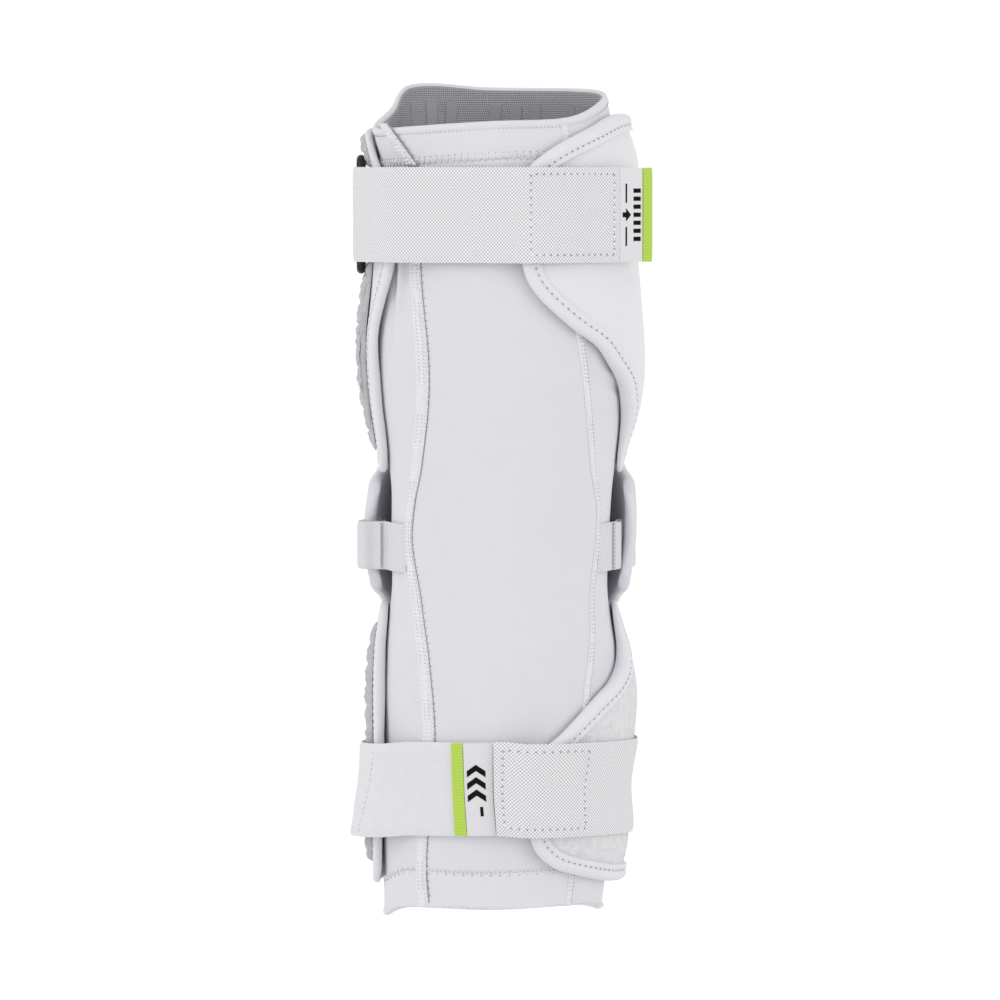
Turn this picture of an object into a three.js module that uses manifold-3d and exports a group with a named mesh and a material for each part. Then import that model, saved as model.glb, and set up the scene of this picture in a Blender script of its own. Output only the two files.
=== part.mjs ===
import * as THREE from 'three';
import Module from 'manifold-3d';

// Left-arm lacrosse pad in millimetres: the arm runs along Z, elbow at the origin, outer side towards +Y.
const ARM_WIDTH = 100;
const ARM_DEPTH = 85;
const ABOVE_ELBOW = 167;
const BELOW_ELBOW = 150;

// Soft base
const SLEEVE_WALL = 1.6;
const CUFF_WALL = 2;
const CUFF_HEIGHT = 15;
const LINING_WALL = 0.8;
const LINING_HEIGHT = 38;
const LINING_BELOW_RIM = 3;
const SEAM_THICKNESS = 0.6;
const LEFT_SEAM_WIDTH = 6;
const RIGHT_SEAM_WIDTH = 4.5;
const RIM_SEAM_WIDTH = 6;
const RIM_SEAM_THICKNESS = 1.2;
const FOLD_REACH = 24;
const FOLD_SIZE = 3.2;

// Guards
const STRAP_BELOW_RIM = 37.2;
const STRAP_ABOVE_HEM = 50;
const UPPER_TIP = 21.8;
const FOREARM_TIP = 26;
const GUARD_OVER_RIM = 2.8;
const GUARD_ABOVE_HEM = 6;
const GUARD_PAD = 4;
const FOAM_PAD = 6.5;
const BINDING_WIDTH = 7;
const BINDING_PROUD = 0.6;
const FOAM_RIB_PITCH = 8.5;
const FOAM_RIB_DEPTH = 1;
const FOAM_MARGIN = 1.5;
const FOAM_COLUMN = 15;

// Elbow cap
const CAP_REACH = 88;
const CAP_HALF_HEIGHT = 50;
const CAP_STAND_OFF = 4;
const CAP_DOME = 7;
const CAP_WALL = 5;
const CAP_CLEARANCE = 3;
const SLOT_SETBACK = 12;
const SLOT_WIDTH = 5;

// Straps and ring
const STRAP_WIDTH = 38;
const ELASTIC_THICKNESS = 1.1;
const HOOK_THICKNESS = 1;
const PILE_THICKNESS = 1.4;
const LABEL_THICKNESS = 0.6;
const TAB_FREE = 11.3;
const LABEL_LENGTH = 11;
const PULL_LENGTH = 5.3;
const CAP_STRAP_WIDTH = 19.5;
const CAP_STRAP_HEIGHT = -4;
const RING_BAR = 3.6;
const RING_DEPTH = 15;
const RING_HEIGHT = 48;
const RING_CLEARANCE = 1.2;
const KEEPER_WIDTH = 36;

// Clearances
const GAP = 0.3;
const LAYER_GAP = 1;
const SEAM_GAP = 0.6;
const SKIN_GAP = 1.6;
const WRAP_GAP = 0.4;

// Strap lines and guard sizes that follow from these
const UPPER_LINE = ABOVE_ELBOW - STRAP_BELOW_RIM;
const UPPER_RISE = STRAP_BELOW_RIM + GUARD_OVER_RIM;
const UPPER_DROP = UPPER_LINE - UPPER_TIP;
const FOREARM_LINE = STRAP_ABOVE_HEM - BELOW_ELBOW;
const FOREARM_RISE = -FOREARM_LINE - FOREARM_TIP;
const FOREARM_DROP = STRAP_ABOVE_HEM - GUARD_ABOVE_HEM;
const SLOT_ANGLE = CAP_REACH - SLOT_SETBACK;
const STRAP_LIFT = SKIN_GAP + GUARD_PAD + BINDING_PROUD;

// Sleeve form: height as a share of ABOVE_ELBOW or BELOW_ELBOW, half width and shift of ARM_WIDTH,
// half depth of ARM_DEPTH.
const FORM = [
  { height: -1.03, width: 0.435, depth: 0.374, shift: -0.03 },
  { height: -0.8, width: 0.46, depth: 0.435, shift: -0.012 },
  { height: -0.667, width: 0.452, depth: 0.454, shift: -0.012 },
  { height: -0.533, width: 0.47, depth: 0.478, shift: 0 },
  { height: -0.307, width: 0.47, depth: 0.488, shift: 0.003 },
  { height: -0.147, width: 0.437, depth: 0.476, shift: 0 },
  { height: 0, width: 0.44, depth: 0.471, shift: 0 },
  { height: 0.132, width: 0.45, depth: 0.476, shift: 0.008 },
  { height: 0.329, width: 0.495, depth: 0.494, shift: 0.005 },
  { height: 0.479, width: 0.505, depth: 0.5, shift: 0 },
  { height: 0.647, width: 0.479, depth: 0.486, shift: 0 },
  { height: 0.778, width: 0.475, depth: 0.482, shift: 0 },
  { height: 0.91, width: 0.475, depth: 0.482, shift: 0 },
  { height: 1.05, width: 0.47, depth: 0.482, shift: -0.05 },
  { height: 1.1, width: 0.47, depth: 0.482, shift: -0.055 },
];

// Rim and hem by angle from the outer side, as shares of ABOVE_ELBOW and BELOW_ELBOW.
const RIM = [
  { angle: -180, height: 1 },
  { angle: -120, height: 0.985 },
  { angle: -95, height: 0.988 },
  { angle: -70, height: 1.03 },
  { angle: -40, height: 1.093 },
  { angle: 0, height: 1.087 },
  { angle: 70, height: 1.078 },
  { angle: 105, height: 1.048 },
  { angle: 140, height: 1.009 },
  { angle: 180, height: 1 },
];
const HEM = [
  { angle: -180, height: -0.99 },
  { angle: -130, height: -0.993 },
  { angle: -95, height: -1.03 },
  { angle: 0, height: -1 },
  { angle: 95, height: -1.013 },
  { angle: 130, height: -0.987 },
  { angle: 180, height: -0.99 },
];

// Soft folds at the rim: angle, spread in degrees, and how far each stands out as a share of FOLD_SIZE.
const FOLDS = [
  { angle: -97, spread: 15, out: 0.5 },
  { angle: -66, spread: 17, out: -1.25 },
  { angle: -38, spread: 12, out: 0.8 },
  { angle: 80, spread: 15, out: 0.469 },
  { angle: 180, spread: 20, out: -0.312 },
];

// Lines of the two flatlock seams: turn from the near side in degrees, plus towards the right.
const LEFT_SEAM = [
  { height: -1, turn: -39 },
  { height: -0.85, turn: -41.5 },
  { height: -0.55, turn: -37.5 },
  { height: -0.31, turn: -41.5 },
  { height: -0.175, turn: -49 },
  { height: -0.013, turn: -57 },
  { height: 0.085, turn: -55 },
  { height: 0.18, turn: -47.5 },
  { height: 0.325, turn: -40 },
  { height: 0.47, turn: -38.5 },
  { height: 0.645, turn: -45 },
  { height: 0.9, turn: -48.5 },
];
const RIGHT_SEAM = [
  { height: -1, turn: 42 },
  { height: -0.85, turn: 43 },
  { height: -0.417, turn: 46.5 },
  { height: -0.229, turn: 53.5 },
  { height: 0.035, turn: 63 },
  { height: 0.18, turn: 51.5 },
  { height: 0.5, turn: 39 },
  { height: 0.9, turn: 36 },
];

// Free edge of each guard from the right tip over the wing and the far side to the left tip:
// angle from the outer side, height as a share of its rise or drop from the strap line.
const UPPER_EDGE = [
  { angle: 92, height: -0.965 },
  { angle: 98, height: -0.945 },
  { angle: 102, height: -0.9 },
  { angle: 104, height: -0.83 },
  { angle: 107, height: -0.75 },
  { angle: 111, height: -0.69 },
  { angle: 115.6, height: -0.631 },
  { angle: 124.5, height: -0.564 },
  { angle: 133.4, height: -0.489 },
  { angle: 146.6, height: -0.422 },
  { angle: 162.2, height: -0.309 },
  { angle: 167.7, height: -0.245 },
  { angle: 170.5, height: -0.165 },
  { angle: 171.5, height: 0 },
  { angle: 170.5, height: 0.33 },
  { angle: 166.7, height: 0.49 },
  { angle: 160, height: 0.6 },
  { angle: 152.7, height: 0.69 },
  { angle: 142.3, height: 0.785 },
  { angle: 130, height: 0.875 },
  { angle: 113, height: 0.978 },
  { angle: 90, height: 1.015 },
  { angle: 45, height: 0.955 },
  { angle: 0, height: 0.93 },
  { angle: -45, height: 0.905 },
  { angle: -75, height: 0.88 },
  { angle: -90, height: 0.84 },
  { angle: -97, height: 0.72 },
  { angle: -102, height: 0.58 },
  { angle: -110, height: 0.42 },
  { angle: -120, height: 0.22 },
  { angle: -126, height: 0.03 },
  { angle: -123, height: -0.193 },
  { angle: -117, height: -0.322 },
  { angle: -112.5, height: -0.433 },
  { angle: -110, height: -0.69 },
  { angle: -108.5, height: -0.82 },
  { angle: -105, height: -0.9 },
  { angle: -99, height: -0.95 },
  { angle: -93, height: -0.965 },
];
const FOREARM_EDGE = [
  { angle: 92, height: 0.985 },
  { angle: 98, height: 0.95 },
  { angle: 102, height: 0.87 },
  { angle: 106, height: 0.7 },
  { angle: 118, height: 0.585 },
  { angle: 130.4, height: 0.503 },
  { angle: 140, height: 0.419 },
  { angle: 151, height: 0.311 },
  { angle: 159.4, height: 0.23 },
  { angle: 164, height: 0.108 },
  { angle: 165.5, height: -0.045 },
  { angle: 165, height: -0.318 },
  { angle: 163.2, height: -0.498 },
  { angle: 159, height: -0.609 },
  { angle: 151, height: -0.718 },
  { angle: 140, height: -0.784 },
  { angle: 127, height: -0.841 },
  { angle: 112, height: -0.886 },
  { angle: 90, height: -0.909 },
  { angle: 45, height: -0.886 },
  { angle: 0, height: -0.864 },
  { angle: -45, height: -0.886 },
  { angle: -78, height: -0.93 },
  { angle: -92, height: -0.94 },
  { angle: -101, height: -0.84 },
  { angle: -104, height: -0.6 },
  { angle: -106, height: -0.2 },
  { angle: -108, height: 0.135 },
  { angle: -107, height: 0.446 },
  { angle: -106, height: 0.7 },
  { angle: -102.5, height: 0.87 },
  { angle: -98, height: 0.95 },
  { angle: -92, height: 0.985 },
];

// Padding thickness by angle: of the guards as a share of GUARD_PAD, of the foam on them of FOAM_PAD.
const UPPER_PADDING = [
  { angle: -127, thickness: 0.95 },
  { angle: -112, thickness: 0.8 },
  { angle: -95, thickness: 0.6 },
  { angle: -45, thickness: 0.875 },
  { angle: 0, thickness: 1 },
  { angle: 60, thickness: 1.25 },
  { angle: 95, thickness: 1.55 },
  { angle: 125, thickness: 1.2 },
  { angle: 171, thickness: 0.95 },
];
const FOREARM_PADDING = [
  { angle: -110, thickness: 0.95 },
  { angle: -92, thickness: 0.625 },
  { angle: 0, thickness: 1 },
  { angle: 60, thickness: 1.15 },
  { angle: 95, thickness: 1.5 },
  { angle: 130, thickness: 1.15 },
  { angle: 166, thickness: 0.95 },
];
const FOAM_PADDING = [
  { angle: -104, thickness: 0.431 },
  { angle: -85, thickness: 0.477 },
  { angle: 0, thickness: 1 },
  { angle: 75, thickness: 0.462 },
];

// Cap outline and dome: reach as a share of CAP_REACH, height of CAP_HALF_HEIGHT, dome of CAP_DOME.
const CAP_OUTLINE = [
  { reach: 0, height: 1, dome: 1 },
  { reach: 0.35, height: 0.95, dome: 0.9 },
  { reach: 0.6, height: 0.76, dome: 0.65 },
  { reach: 0.8, height: 0.54, dome: 0.42 },
  { reach: 0.93, height: 0.47, dome: 0.38 },
  { reach: 0.97, height: 0.43, dome: 0.38 },
  { reach: 1, height: 0.32, dome: 0.38 },
];

// Upper strap by turn from the near side: mid-thickness from the sleeve as a share of STRAP_LIFT.
const UPPER_UNDER_LAYER = [
  { turn: 4, out: 0.355 },
  { turn: -14, out: 0.355 },
  { turn: -34, out: 0.371 },
  { turn: -43, out: 0.677 },
  { turn: -50, out: 1.113 },
  { turn: -61, out: 1.113 },
  { turn: -70, out: 1.048 },
];
const UPPER_TOP_LAYER = [
  { turn: -76, out: 1.613 },
  { turn: -62, out: 1.371 },
  { turn: -50, out: 1.355 },
  { turn: -42, out: 1 },
  { turn: -34, out: 0.661 },
  { turn: -16, out: 0.597 },
  { turn: -3, out: 0.613 },
  { turn: 3, out: 0.871 },
  { turn: 9, out: 1.21 },
  { turn: 15, out: 1.387 },
  { turn: 30, out: 1.387 },
  { turn: 43, out: 1.387 },
];

// Lower strap by turn: inner face from the sleeve as a share of STRAP_LIFT, centre height from FOREARM_LINE
// and outward flare of the lower edge as shares of STRAP_WIDTH.
const LOWER_ELASTIC = [
  { turn: -5, out: 0.758, rise: 0.039 },
  { turn: 3, out: 0.774, rise: 0.039 },
  { turn: 12, out: 1.306, rise: 0.026 },
  { turn: 40, out: 1.306, rise: 0.013 },
  { turn: 56, out: 1.177, rise: 0 },
  { turn: 85, out: 1.355, rise: -0.026 },
  { turn: 112, out: 1.226, rise: -0.026 },
];
const LOWER_PILE = [
  { turn: -118, out: 1.613, rise: -0.105, flare: 0.026 },
  { turn: -100, out: 1.452, rise: -0.092, flare: 0.053 },
  { turn: -88, out: 1.339, rise: -0.079, flare: 0.105 },
  { turn: -76, out: 1.113, rise: -0.066, flare: 0.066 },
  { turn: -62, out: 1.032, rise: -0.039, flare: 0.013 },
  { turn: -46, out: 0.306, rise: 0, flare: 0 },
  { turn: 6, out: 0.274, rise: 0.039, flare: 0 },
];

const { sin, cos, exp, hypot, max, min, round, PI } = Math;
const { degToRad, radToDeg, smoothstep, lerp } = THREE.MathUtils;

// Smooth value of one column of a table, held level past both ends.
function read(table, key, column, at) {
  const last = table.length - 1;
  const sign = table[last][key] > table[0][key] ? 1 : -1;
  if ((at - table[0][key]) * sign <= 0) return table[0][column];
  if ((at - table[last][key]) * sign >= 0) return table[last][column];
  const i = table.findIndex((row) => (row[key] - at) * sign > 0) - 1;
  const slope = (k) => {
    const before = table[max(k - 1, 0)];
    const after = table[min(k + 1, last)];
    return (after[column] - before[column]) / (after[key] - before[key]);
  };
  const step = table[i + 1][key] - table[i][key];
  const t = (at - table[i][key]) / step;
  const level = lerp(table[i][column], table[i + 1][column], t * t * (3 - 2 * t));
  return level + step * t * (1 - t) * ((1 - t) * slope(i) - t * slope(i + 1));
}

const between = (from, to, count) => Array.from({ length: count }, (_, k) => lerp(from, to, k / (count - 1)));
const wrapped = (angle) => ((angle + 540) % 360) - 180;
const heightShare = (z) => (z > 0 ? z / ABOVE_ELBOW : z / BELOW_ELBOW);
const rimHeight = (angle) => read(RIM, 'angle', 'height', wrapped(angle)) * ABOVE_ELBOW;
const hemHeight = (angle) => read(HEM, 'angle', 'height', wrapped(angle)) * BELOW_ELBOW;

// Point at a distance out from the sleeve's outer face, at an angle from the outer side, plus to the right.
function armPoint(angle, z, out) {
  const share = heightShare(z);
  const width = read(FORM, 'height', 'width', share) * ARM_WIDTH;
  const depth = read(FORM, 'height', 'depth', share) * ARM_DEPTH;
  const shift = read(FORM, 'height', 'shift', share) * ARM_WIDTH;
  const nearRim = smoothstep(z, rimHeight(angle) - FOLD_REACH, rimHeight(angle));
  const crest = ({ angle: at, spread, out: size }) => size * exp(-((wrapped(angle - at) / spread) ** 2));
  const fold = FOLDS.reduce((sum, one) => sum + crest(one), 0);
  const turn = degToRad(angle);
  const reach = (out + fold * FOLD_SIZE * nearRim) / hypot(depth * sin(turn), width * cos(turn));
  return new THREE.Vector3(
    shift + width * sin(turn) + depth * sin(turn) * reach,
    depth * cos(turn) + width * cos(turn) * reach,
    z,
  );
}

// Closed geometry from points and faces, turned so that the faces look outwards.
function closed(points, faces) {
  const fan = (face) => face.slice(2).map((_, k) => [face[0], face[k + 1], face[k + 2]]);
  const triangles = faces.flatMap(fan);
  const cone = ([a, b, c]) => points[a].dot(points[b].clone().cross(points[c]));
  const volume = triangles.reduce((sum, triangle) => sum + cone(triangle), 0);
  const order = volume > 0 ? triangles : triangles.map(([a, b, c]) => [a, c, b]);
  const geometry = new THREE.BufferGeometry().setFromPoints(points);
  geometry.setIndex(order.flat());
  geometry.computeVertexNormals();
  return geometry;
}

// Solid between two grids of points; with ring set, the last column joins the first.
function slab(outer, inner, ring = false) {
  const rows = outer.length;
  const columns = outer[0].length;
  const at = (side, i, j) => (side * rows + i) * columns + (j % columns);
  const faces = [];
  const strips = ring ? columns : columns - 1;
  for (let j = 0; j < strips; j += 1) {
    for (let i = 0; i < rows - 1; i += 1) {
      faces.push([at(0, i, j), at(0, i, j + 1), at(0, i + 1, j + 1), at(0, i + 1, j)]);
      faces.push([at(1, i, j), at(1, i + 1, j), at(1, i + 1, j + 1), at(1, i, j + 1)]);
    }
    faces.push([at(0, 0, j), at(1, 0, j), at(1, 0, j + 1), at(0, 0, j + 1)]);
    faces.push([at(0, rows - 1, j), at(0, rows - 1, j + 1), at(1, rows - 1, j + 1), at(1, rows - 1, j)]);
  }
  for (let i = 0; i < rows - 1 && !ring; i += 1) {
    faces.push([at(0, i, 0), at(0, i + 1, 0), at(1, i + 1, 0), at(1, i, 0)]);
    faces.push([at(0, i, strips), at(1, i, strips), at(1, i + 1, strips), at(0, i + 1, strips)]);
  }
  return closed([...outer.flat(), ...inner.flat()], faces);
}

// Solid swept round a closed loop of closed sections.
function hoop(sections) {
  const count = sections.length;
  const sides = sections[0].length;
  const at = (i, j) => (i % count) * sides + (j % sides);
  const faces = sections.flatMap((section, i) =>
    section.map((_, j) => [at(i, j), at(i + 1, j), at(i + 1, j + 1), at(i, j + 1)]));
  return closed(sections.flat(), faces);
}

const group = new THREE.Group();
group.name = 'lacrosse_arm_pad';

function add(name, geometry, color, roughness, metalness = 0) {
  const mesh = new THREE.Mesh(geometry, new THREE.MeshStandardMaterial({ color, roughness, metalness }));
  mesh.name = name;
  group.add(mesh);
  return mesh;
}

// Sleeve, cuffs and grip lining: closed tubes between two heights that follow the rim and the hem
const TUBE_ANGLES = between(-180, 180, 33).slice(0, -1);
const SLEEVE_ROWS = 15;
const BAND_ROWS = 3;

function tube(bottom, top, out, wall, rows) {
  const shell = (offset) => between(0, 1, rows).map((share) =>
    TUBE_ANGLES.map((angle) => armPoint(angle, lerp(bottom(angle), top(angle), share), offset)));
  return slab(shell(out), shell(out - wall), true);
}

const cuffTop = (angle) => hemHeight(angle) + CUFF_HEIGHT;
const cuffBottom = (angle) => rimHeight(angle) - CUFF_HEIGHT;
const cuffOut = CUFF_WALL - SLEEVE_WALL;
const liningTop = (angle) => rimHeight(angle) - LINING_BELOW_RIM;
const sleeveTop = (angle) => cuffBottom(angle) - GAP;
const sleeveBottom = (angle) => cuffTop(angle) + GAP;
const liningBottom = (angle) => liningTop(angle) - LINING_HEIGHT;
const liningOut = -SLEEVE_WALL - SEAM_GAP - GAP;
const LINING_ROWS = 5;
add('sleeve', tube(sleeveBottom, sleeveTop, 0, SLEEVE_WALL, SLEEVE_ROWS), '#dedee3', 0.9);
add('top_cuff', tube(cuffBottom, rimHeight, cuffOut, CUFF_WALL, BAND_ROWS), '#e0e0e4', 0.9);
add('bottom_cuff', tube(hemHeight, cuffTop, cuffOut, CUFF_WALL, BAND_ROWS), '#e2e2e5', 0.9);
add('grip_lining', tube(liningBottom, liningTop, liningOut, LINING_WALL, LINING_ROWS), '#97979b', 0.95);

// Flatlock seams: narrow strips on the sleeve
const SEAM_ROWS = 22;
const RIM_SEAM_ROWS = 5;
const seamTurn = (table) => (z) => read(table, 'height', 'turn', heightShare(z));

function strip(turnAt, from, to, width, out, thickness, rows) {
  const halfTurn = radToDeg(width / ARM_WIDTH);
  const face = (offset) => between(from, to, rows).map((z) =>
    [-1, 1].map((side) => armPoint(180 - turnAt(z) + side * halfTurn, z, offset)));
  return slab(face(out + thickness), face(out));
}

function seam(name, table, width) {
  const angle = 180 - table[0].turn;
  const bottom = cuffTop(angle) + GAP * 6;
  const top = min(cuffBottom(180 - table.at(-1).turn) - GAP * 2, UPPER_LINE + STRAP_WIDTH / 2);
  const thread = strip(seamTurn(table), bottom, top, width, SEAM_GAP, SEAM_THICKNESS, SEAM_ROWS);
  add(name, thread, '#e6e6ea', 0.85);
}
seam('left_seam', LEFT_SEAM, LEFT_SEAM_WIDTH);
seam('right_seam', RIGHT_SEAM, RIGHT_SEAM_WIDTH);

// Thick seam bar that slants across the cuff from the rim to the top of the strap
const RIM_SEAM_TURNS = { low: -47, high: -64 };
const rimSeamTop = rimHeight(-180 - RIM_SEAM_TURNS.high) - GAP;
const rimSeamBottom = UPPER_LINE + STRAP_WIDTH / 2 + GAP * 3;
const rimSeamShare = (z) => (z - rimSeamBottom) / (rimSeamTop - rimSeamBottom);
const rimSeamTurn = (z) => lerp(RIM_SEAM_TURNS.low, RIM_SEAM_TURNS.high, rimSeamShare(z));
const rimSeamOut = cuffOut + GAP * 2;
const rimSeamSpan = [rimSeamBottom, rimSeamTop];
const rimSeamSize = [RIM_SEAM_WIDTH, rimSeamOut, RIM_SEAM_THICKNESS];
const rimSeam = strip(rimSeamTurn, ...rimSeamSpan, ...rimSeamSize, RIM_SEAM_ROWS);
add('rim_seam', rimSeam, '#e6e6ea', 0.85);

// Guard outlines: closed curves in the unrolled plane, x along the girth and y along the arm
const GIRTH_RADIUS = 47;
const ARCH_ANGLES = [-80, -70, -60, -45, -30, -15, 0, 15, 30, 45, 60, 70, 80];
const OUTLINE_SAMPLES = 700;
const COLUMN_SPACING = 1.9;
const END_CLEAR = 0.5;
const GUARD_ROWS = 8;
const girth = (angle) => degToRad(angle) * GIRTH_RADIUS;
const angleAt = (x) => radToDeg(x / GIRTH_RADIUS);
const capValue = (column, angle) => read(CAP_OUTLINE, 'reach', column, Math.abs(angle) / CAP_REACH);
const capHalfHeight = (angle) => CAP_HALF_HEIGHT * capValue('height', angle);
const capDome = (angle) => CAP_DOME * capValue('dome', angle);

function outlineOf(edge, line, rise, drop) {
  const side = line > 0 ? 1 : -1;
  const free = edge.map(({ angle, height }) => [angle, line + height * (height > 0 ? rise : drop)]);
  const arch = ARCH_ANGLES.map((angle) => [angle, side * (capHalfHeight(angle) + CAP_CLEARANCE)]);
  const points = [...free, ...arch].map(([angle, z]) => new THREE.Vector3(girth(angle), z, 0));
  return new THREE.CatmullRomCurve3(points, true, 'centripetal').getPoints(OUTLINE_SAMPLES);
}

// Lowest and highest crossing of a closed outline at one place along the girth.
function interval(outline, x) {
  const heights = outline.flatMap((point, k) => {
    const next = outline[(k + 1) % outline.length];
    const share = (x - point.x) / (next.x - point.x);
    return (point.x <= x) !== (next.x <= x) ? [lerp(point.y, next.y, share)] : [];
  });
  return [min(...heights), max(...heights)];
}

// The same outline with few corners, at its table's angles: left end, lower edge, right end, upper edge.
function corners(outline, edge) {
  const leftmost = outline.reduce((a, b) => (b.x < a.x ? b : a));
  const rightmost = outline.reduce((a, b) => (b.x > a.x ? b : a));
  const inside = (angle) => girth(angle) > leftmost.x + END_CLEAR && girth(angle) < rightmost.x - END_CLEAR;
  const angles = [...edge.map(({ angle }) => angle), ...ARCH_ANGLES].filter(inside).sort((a, b) => a - b);
  const keep = (kept, angle) => (angle - kept.at(-1) < COLUMN_SPACING ? kept : [...kept, angle]);
  const spaced = angles.slice(1).reduce(keep, angles.slice(0, 1));
  const columns = spaced.map((angle) => [girth(angle), ...interval(outline, girth(angle))]);
  const lower = columns.map(([x, low]) => new THREE.Vector3(x, low, 0));
  const upper = columns.map(([x, , high]) => new THREE.Vector3(x, high, 0));
  return [leftmost, ...lower, rightmost, ...upper.reverse()];
}

// Moves every corner of a loop inwards.
function insetBy(loop, distance) {
  return loop.map((point, k) => {
    const before = loop[(k + loop.length - 1) % loop.length];
    const after = loop[(k + 1) % loop.length];
    const along = after.clone().sub(before);
    const inward = new THREE.Vector3(-along.y, along.x, 0).normalize();
    return point.clone().addScaledVector(inward, distance);
  });
}

const onGuard = (point, out) => armPoint(angleAt(point.x), point.y, out);

// Padded shell inside the binding, and the rolled binding round it
function guard(name, edge, padding, line, rise, drop) {
  const outline = outlineOf(edge, line, rise, drop);
  const loop = corners(outline, edge);
  const columns = loop.length / 2 - 1;
  const thickness = (point) => GUARD_PAD * read(padding, 'angle', 'thickness', angleAt(point.x));
  const inner = insetBy(loop, BINDING_WIDTH + GAP);
  const lower = inner.slice(1, columns + 1);
  const upper = inner.slice(columns + 2).reverse();
  const face = (share) => lower.map((low, k) => between(0, 1, GUARD_ROWS).map((t) => {
    const point = low.clone().lerp(upper[k], t);
    return onGuard(point, SKIN_GAP + share * thickness(point));
  }));
  add(`${name}_guard`, slab(face(1), face(0)), '#e1e1e5', 0.85);

  const profile = [
    { inset: 0, up: 0.3 },
    { inset: 0.15, up: 1 },
    { inset: 0.85, up: 1 },
    { inset: 1, up: 0.85 },
    { inset: 1, up: 0 },
    { inset: 0.15, up: 0 },
  ];
  const edges = profile.map(({ inset }) => insetBy(loop, inset * BINDING_WIDTH));
  const sections = loop.map((_, k) => profile.map(({ up }, j) => {
    const point = edges[j][k];
    return onGuard(point, SKIN_GAP + up * (thickness(point) + BINDING_PROUD));
  }));
  add(`${name}_binding`, hoop(sections), '#e4e5ea', 0.8);
  return { edge: inner, rim: insetBy(loop, GAP), thickness };
}
const upperGuard = guard('upper', UPPER_EDGE, UPPER_PADDING, UPPER_LINE, UPPER_RISE, UPPER_DROP);
const forearmSize = [FOREARM_LINE, FOREARM_RISE, FOREARM_DROP];
const forearmGuard = guard('forearm', FOREARM_EDGE, FOREARM_PADDING, ...forearmSize);

// Ribbed foam panel on a guard between two angles and two heights, inside the given edge
function foam(name, edge, thickness, from, to, floor = -Infinity, ceiling = Infinity) {
  const columns = max(4, round((to - from) / FOAM_COLUMN));
  const spans = between(from, to, columns + 1).map((angle) => {
    const [low, high] = interval(edge, girth(angle));
    const within = { low: max(low + FOAM_MARGIN, floor), high: min(high - FOAM_MARGIN, ceiling) };
    return { x: girth(angle), ...within };
  });
  const tallest = max(...spans.map(({ low, high }) => high - low));
  const rows = 2 * max(1, round(tallest / FOAM_RIB_PITCH)) + 1;
  const face = (top) => spans.map(({ x, low, high }) => between(low, high, rows).map((z, row) => {
    const point = new THREE.Vector3(x, z, 0);
    const base = SKIN_GAP + thickness(point) + LAYER_GAP;
    const padding = FOAM_PAD * read(FOAM_PADDING, 'angle', 'thickness', angleAt(x));
    return onGuard(point, base + top * (padding - (row % 2 ? 0 : FOAM_RIB_DEPTH)));
  }));
  add(name, slab(face(1), face(0)), '#bcbcbe', 0.95);
}
const FOAM_OFF_RING = 2;
const underRing = UPPER_LINE - RING_HEIGHT / 2 - FOAM_OFF_RING;
const overRing = UPPER_LINE + RING_HEIGHT / 2 + FOAM_OFF_RING;
foam('upper_foam', upperGuard.edge, upperGuard.thickness, -69, 75);
foam('upper_side_foam', upperGuard.edge, upperGuard.thickness, -103, -73, -Infinity, underRing);
foam('upper_rim_foam', upperGuard.rim, upperGuard.thickness, -98, -73, overRing);
foam('forearm_foam', forearmGuard.edge, forearmGuard.thickness, -95, 60);

// Elbow cap: domed cup with a slot near each side edge
const CAP_COLUMNS = 25;
const CAP_ROWS = 9;
const SLOT_OVER = 1.5;
const wasm = await Module();
wasm.setup();

function capFace(wall) {
  return between(-CAP_REACH, CAP_REACH, CAP_COLUMNS).map((angle) => {
    const height = capHalfHeight(angle);
    return between(-1, 1, CAP_ROWS).map((share) =>
      armPoint(angle, height * share, CAP_STAND_OFF + capDome(angle) * (1 - share * share) + wall));
  });
}

function solidOf(geometry) {
  return new wasm.Manifold(new wasm.Mesh({
    numProp: 3,
    vertProperties: Float32Array.from(geometry.attributes.position.array),
    triVerts: Uint32Array.from(geometry.index.array),
  }));
}

function geometryOf(solid) {
  const mesh = solid.getMesh();
  const geometry = new THREE.BufferGeometry();
  geometry.setAttribute('position', new THREE.BufferAttribute(Float32Array.from(mesh.vertProperties), 3));
  geometry.setIndex([...mesh.triVerts]);
  geometry.computeVertexNormals();
  return geometry;
}

const slots = [-SLOT_ANGLE, SLOT_ANGLE].map((angle) => {
  const middle = armPoint(angle, CAP_STRAP_HEIGHT, CAP_STAND_OFF + CAP_WALL);
  return wasm.Manifold.cube([SLOT_WIDTH, CAP_WALL * 4, CAP_STRAP_WIDTH + SLOT_OVER], true)
    .rotate([0, 0, -angle])
    .translate([middle.x, middle.y, middle.z]);
});
const cup = slots.reduce((solid, slot) => solid.subtract(slot), solidOf(slab(capFace(CAP_WALL), capFace(0))));
add('elbow_cap', geometryOf(cup), '#e4e4e8', 0.6);

// Flat ribbon of upright sections along a path, given by its mid-thickness
const RIBBON_STEP = 6;

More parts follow.
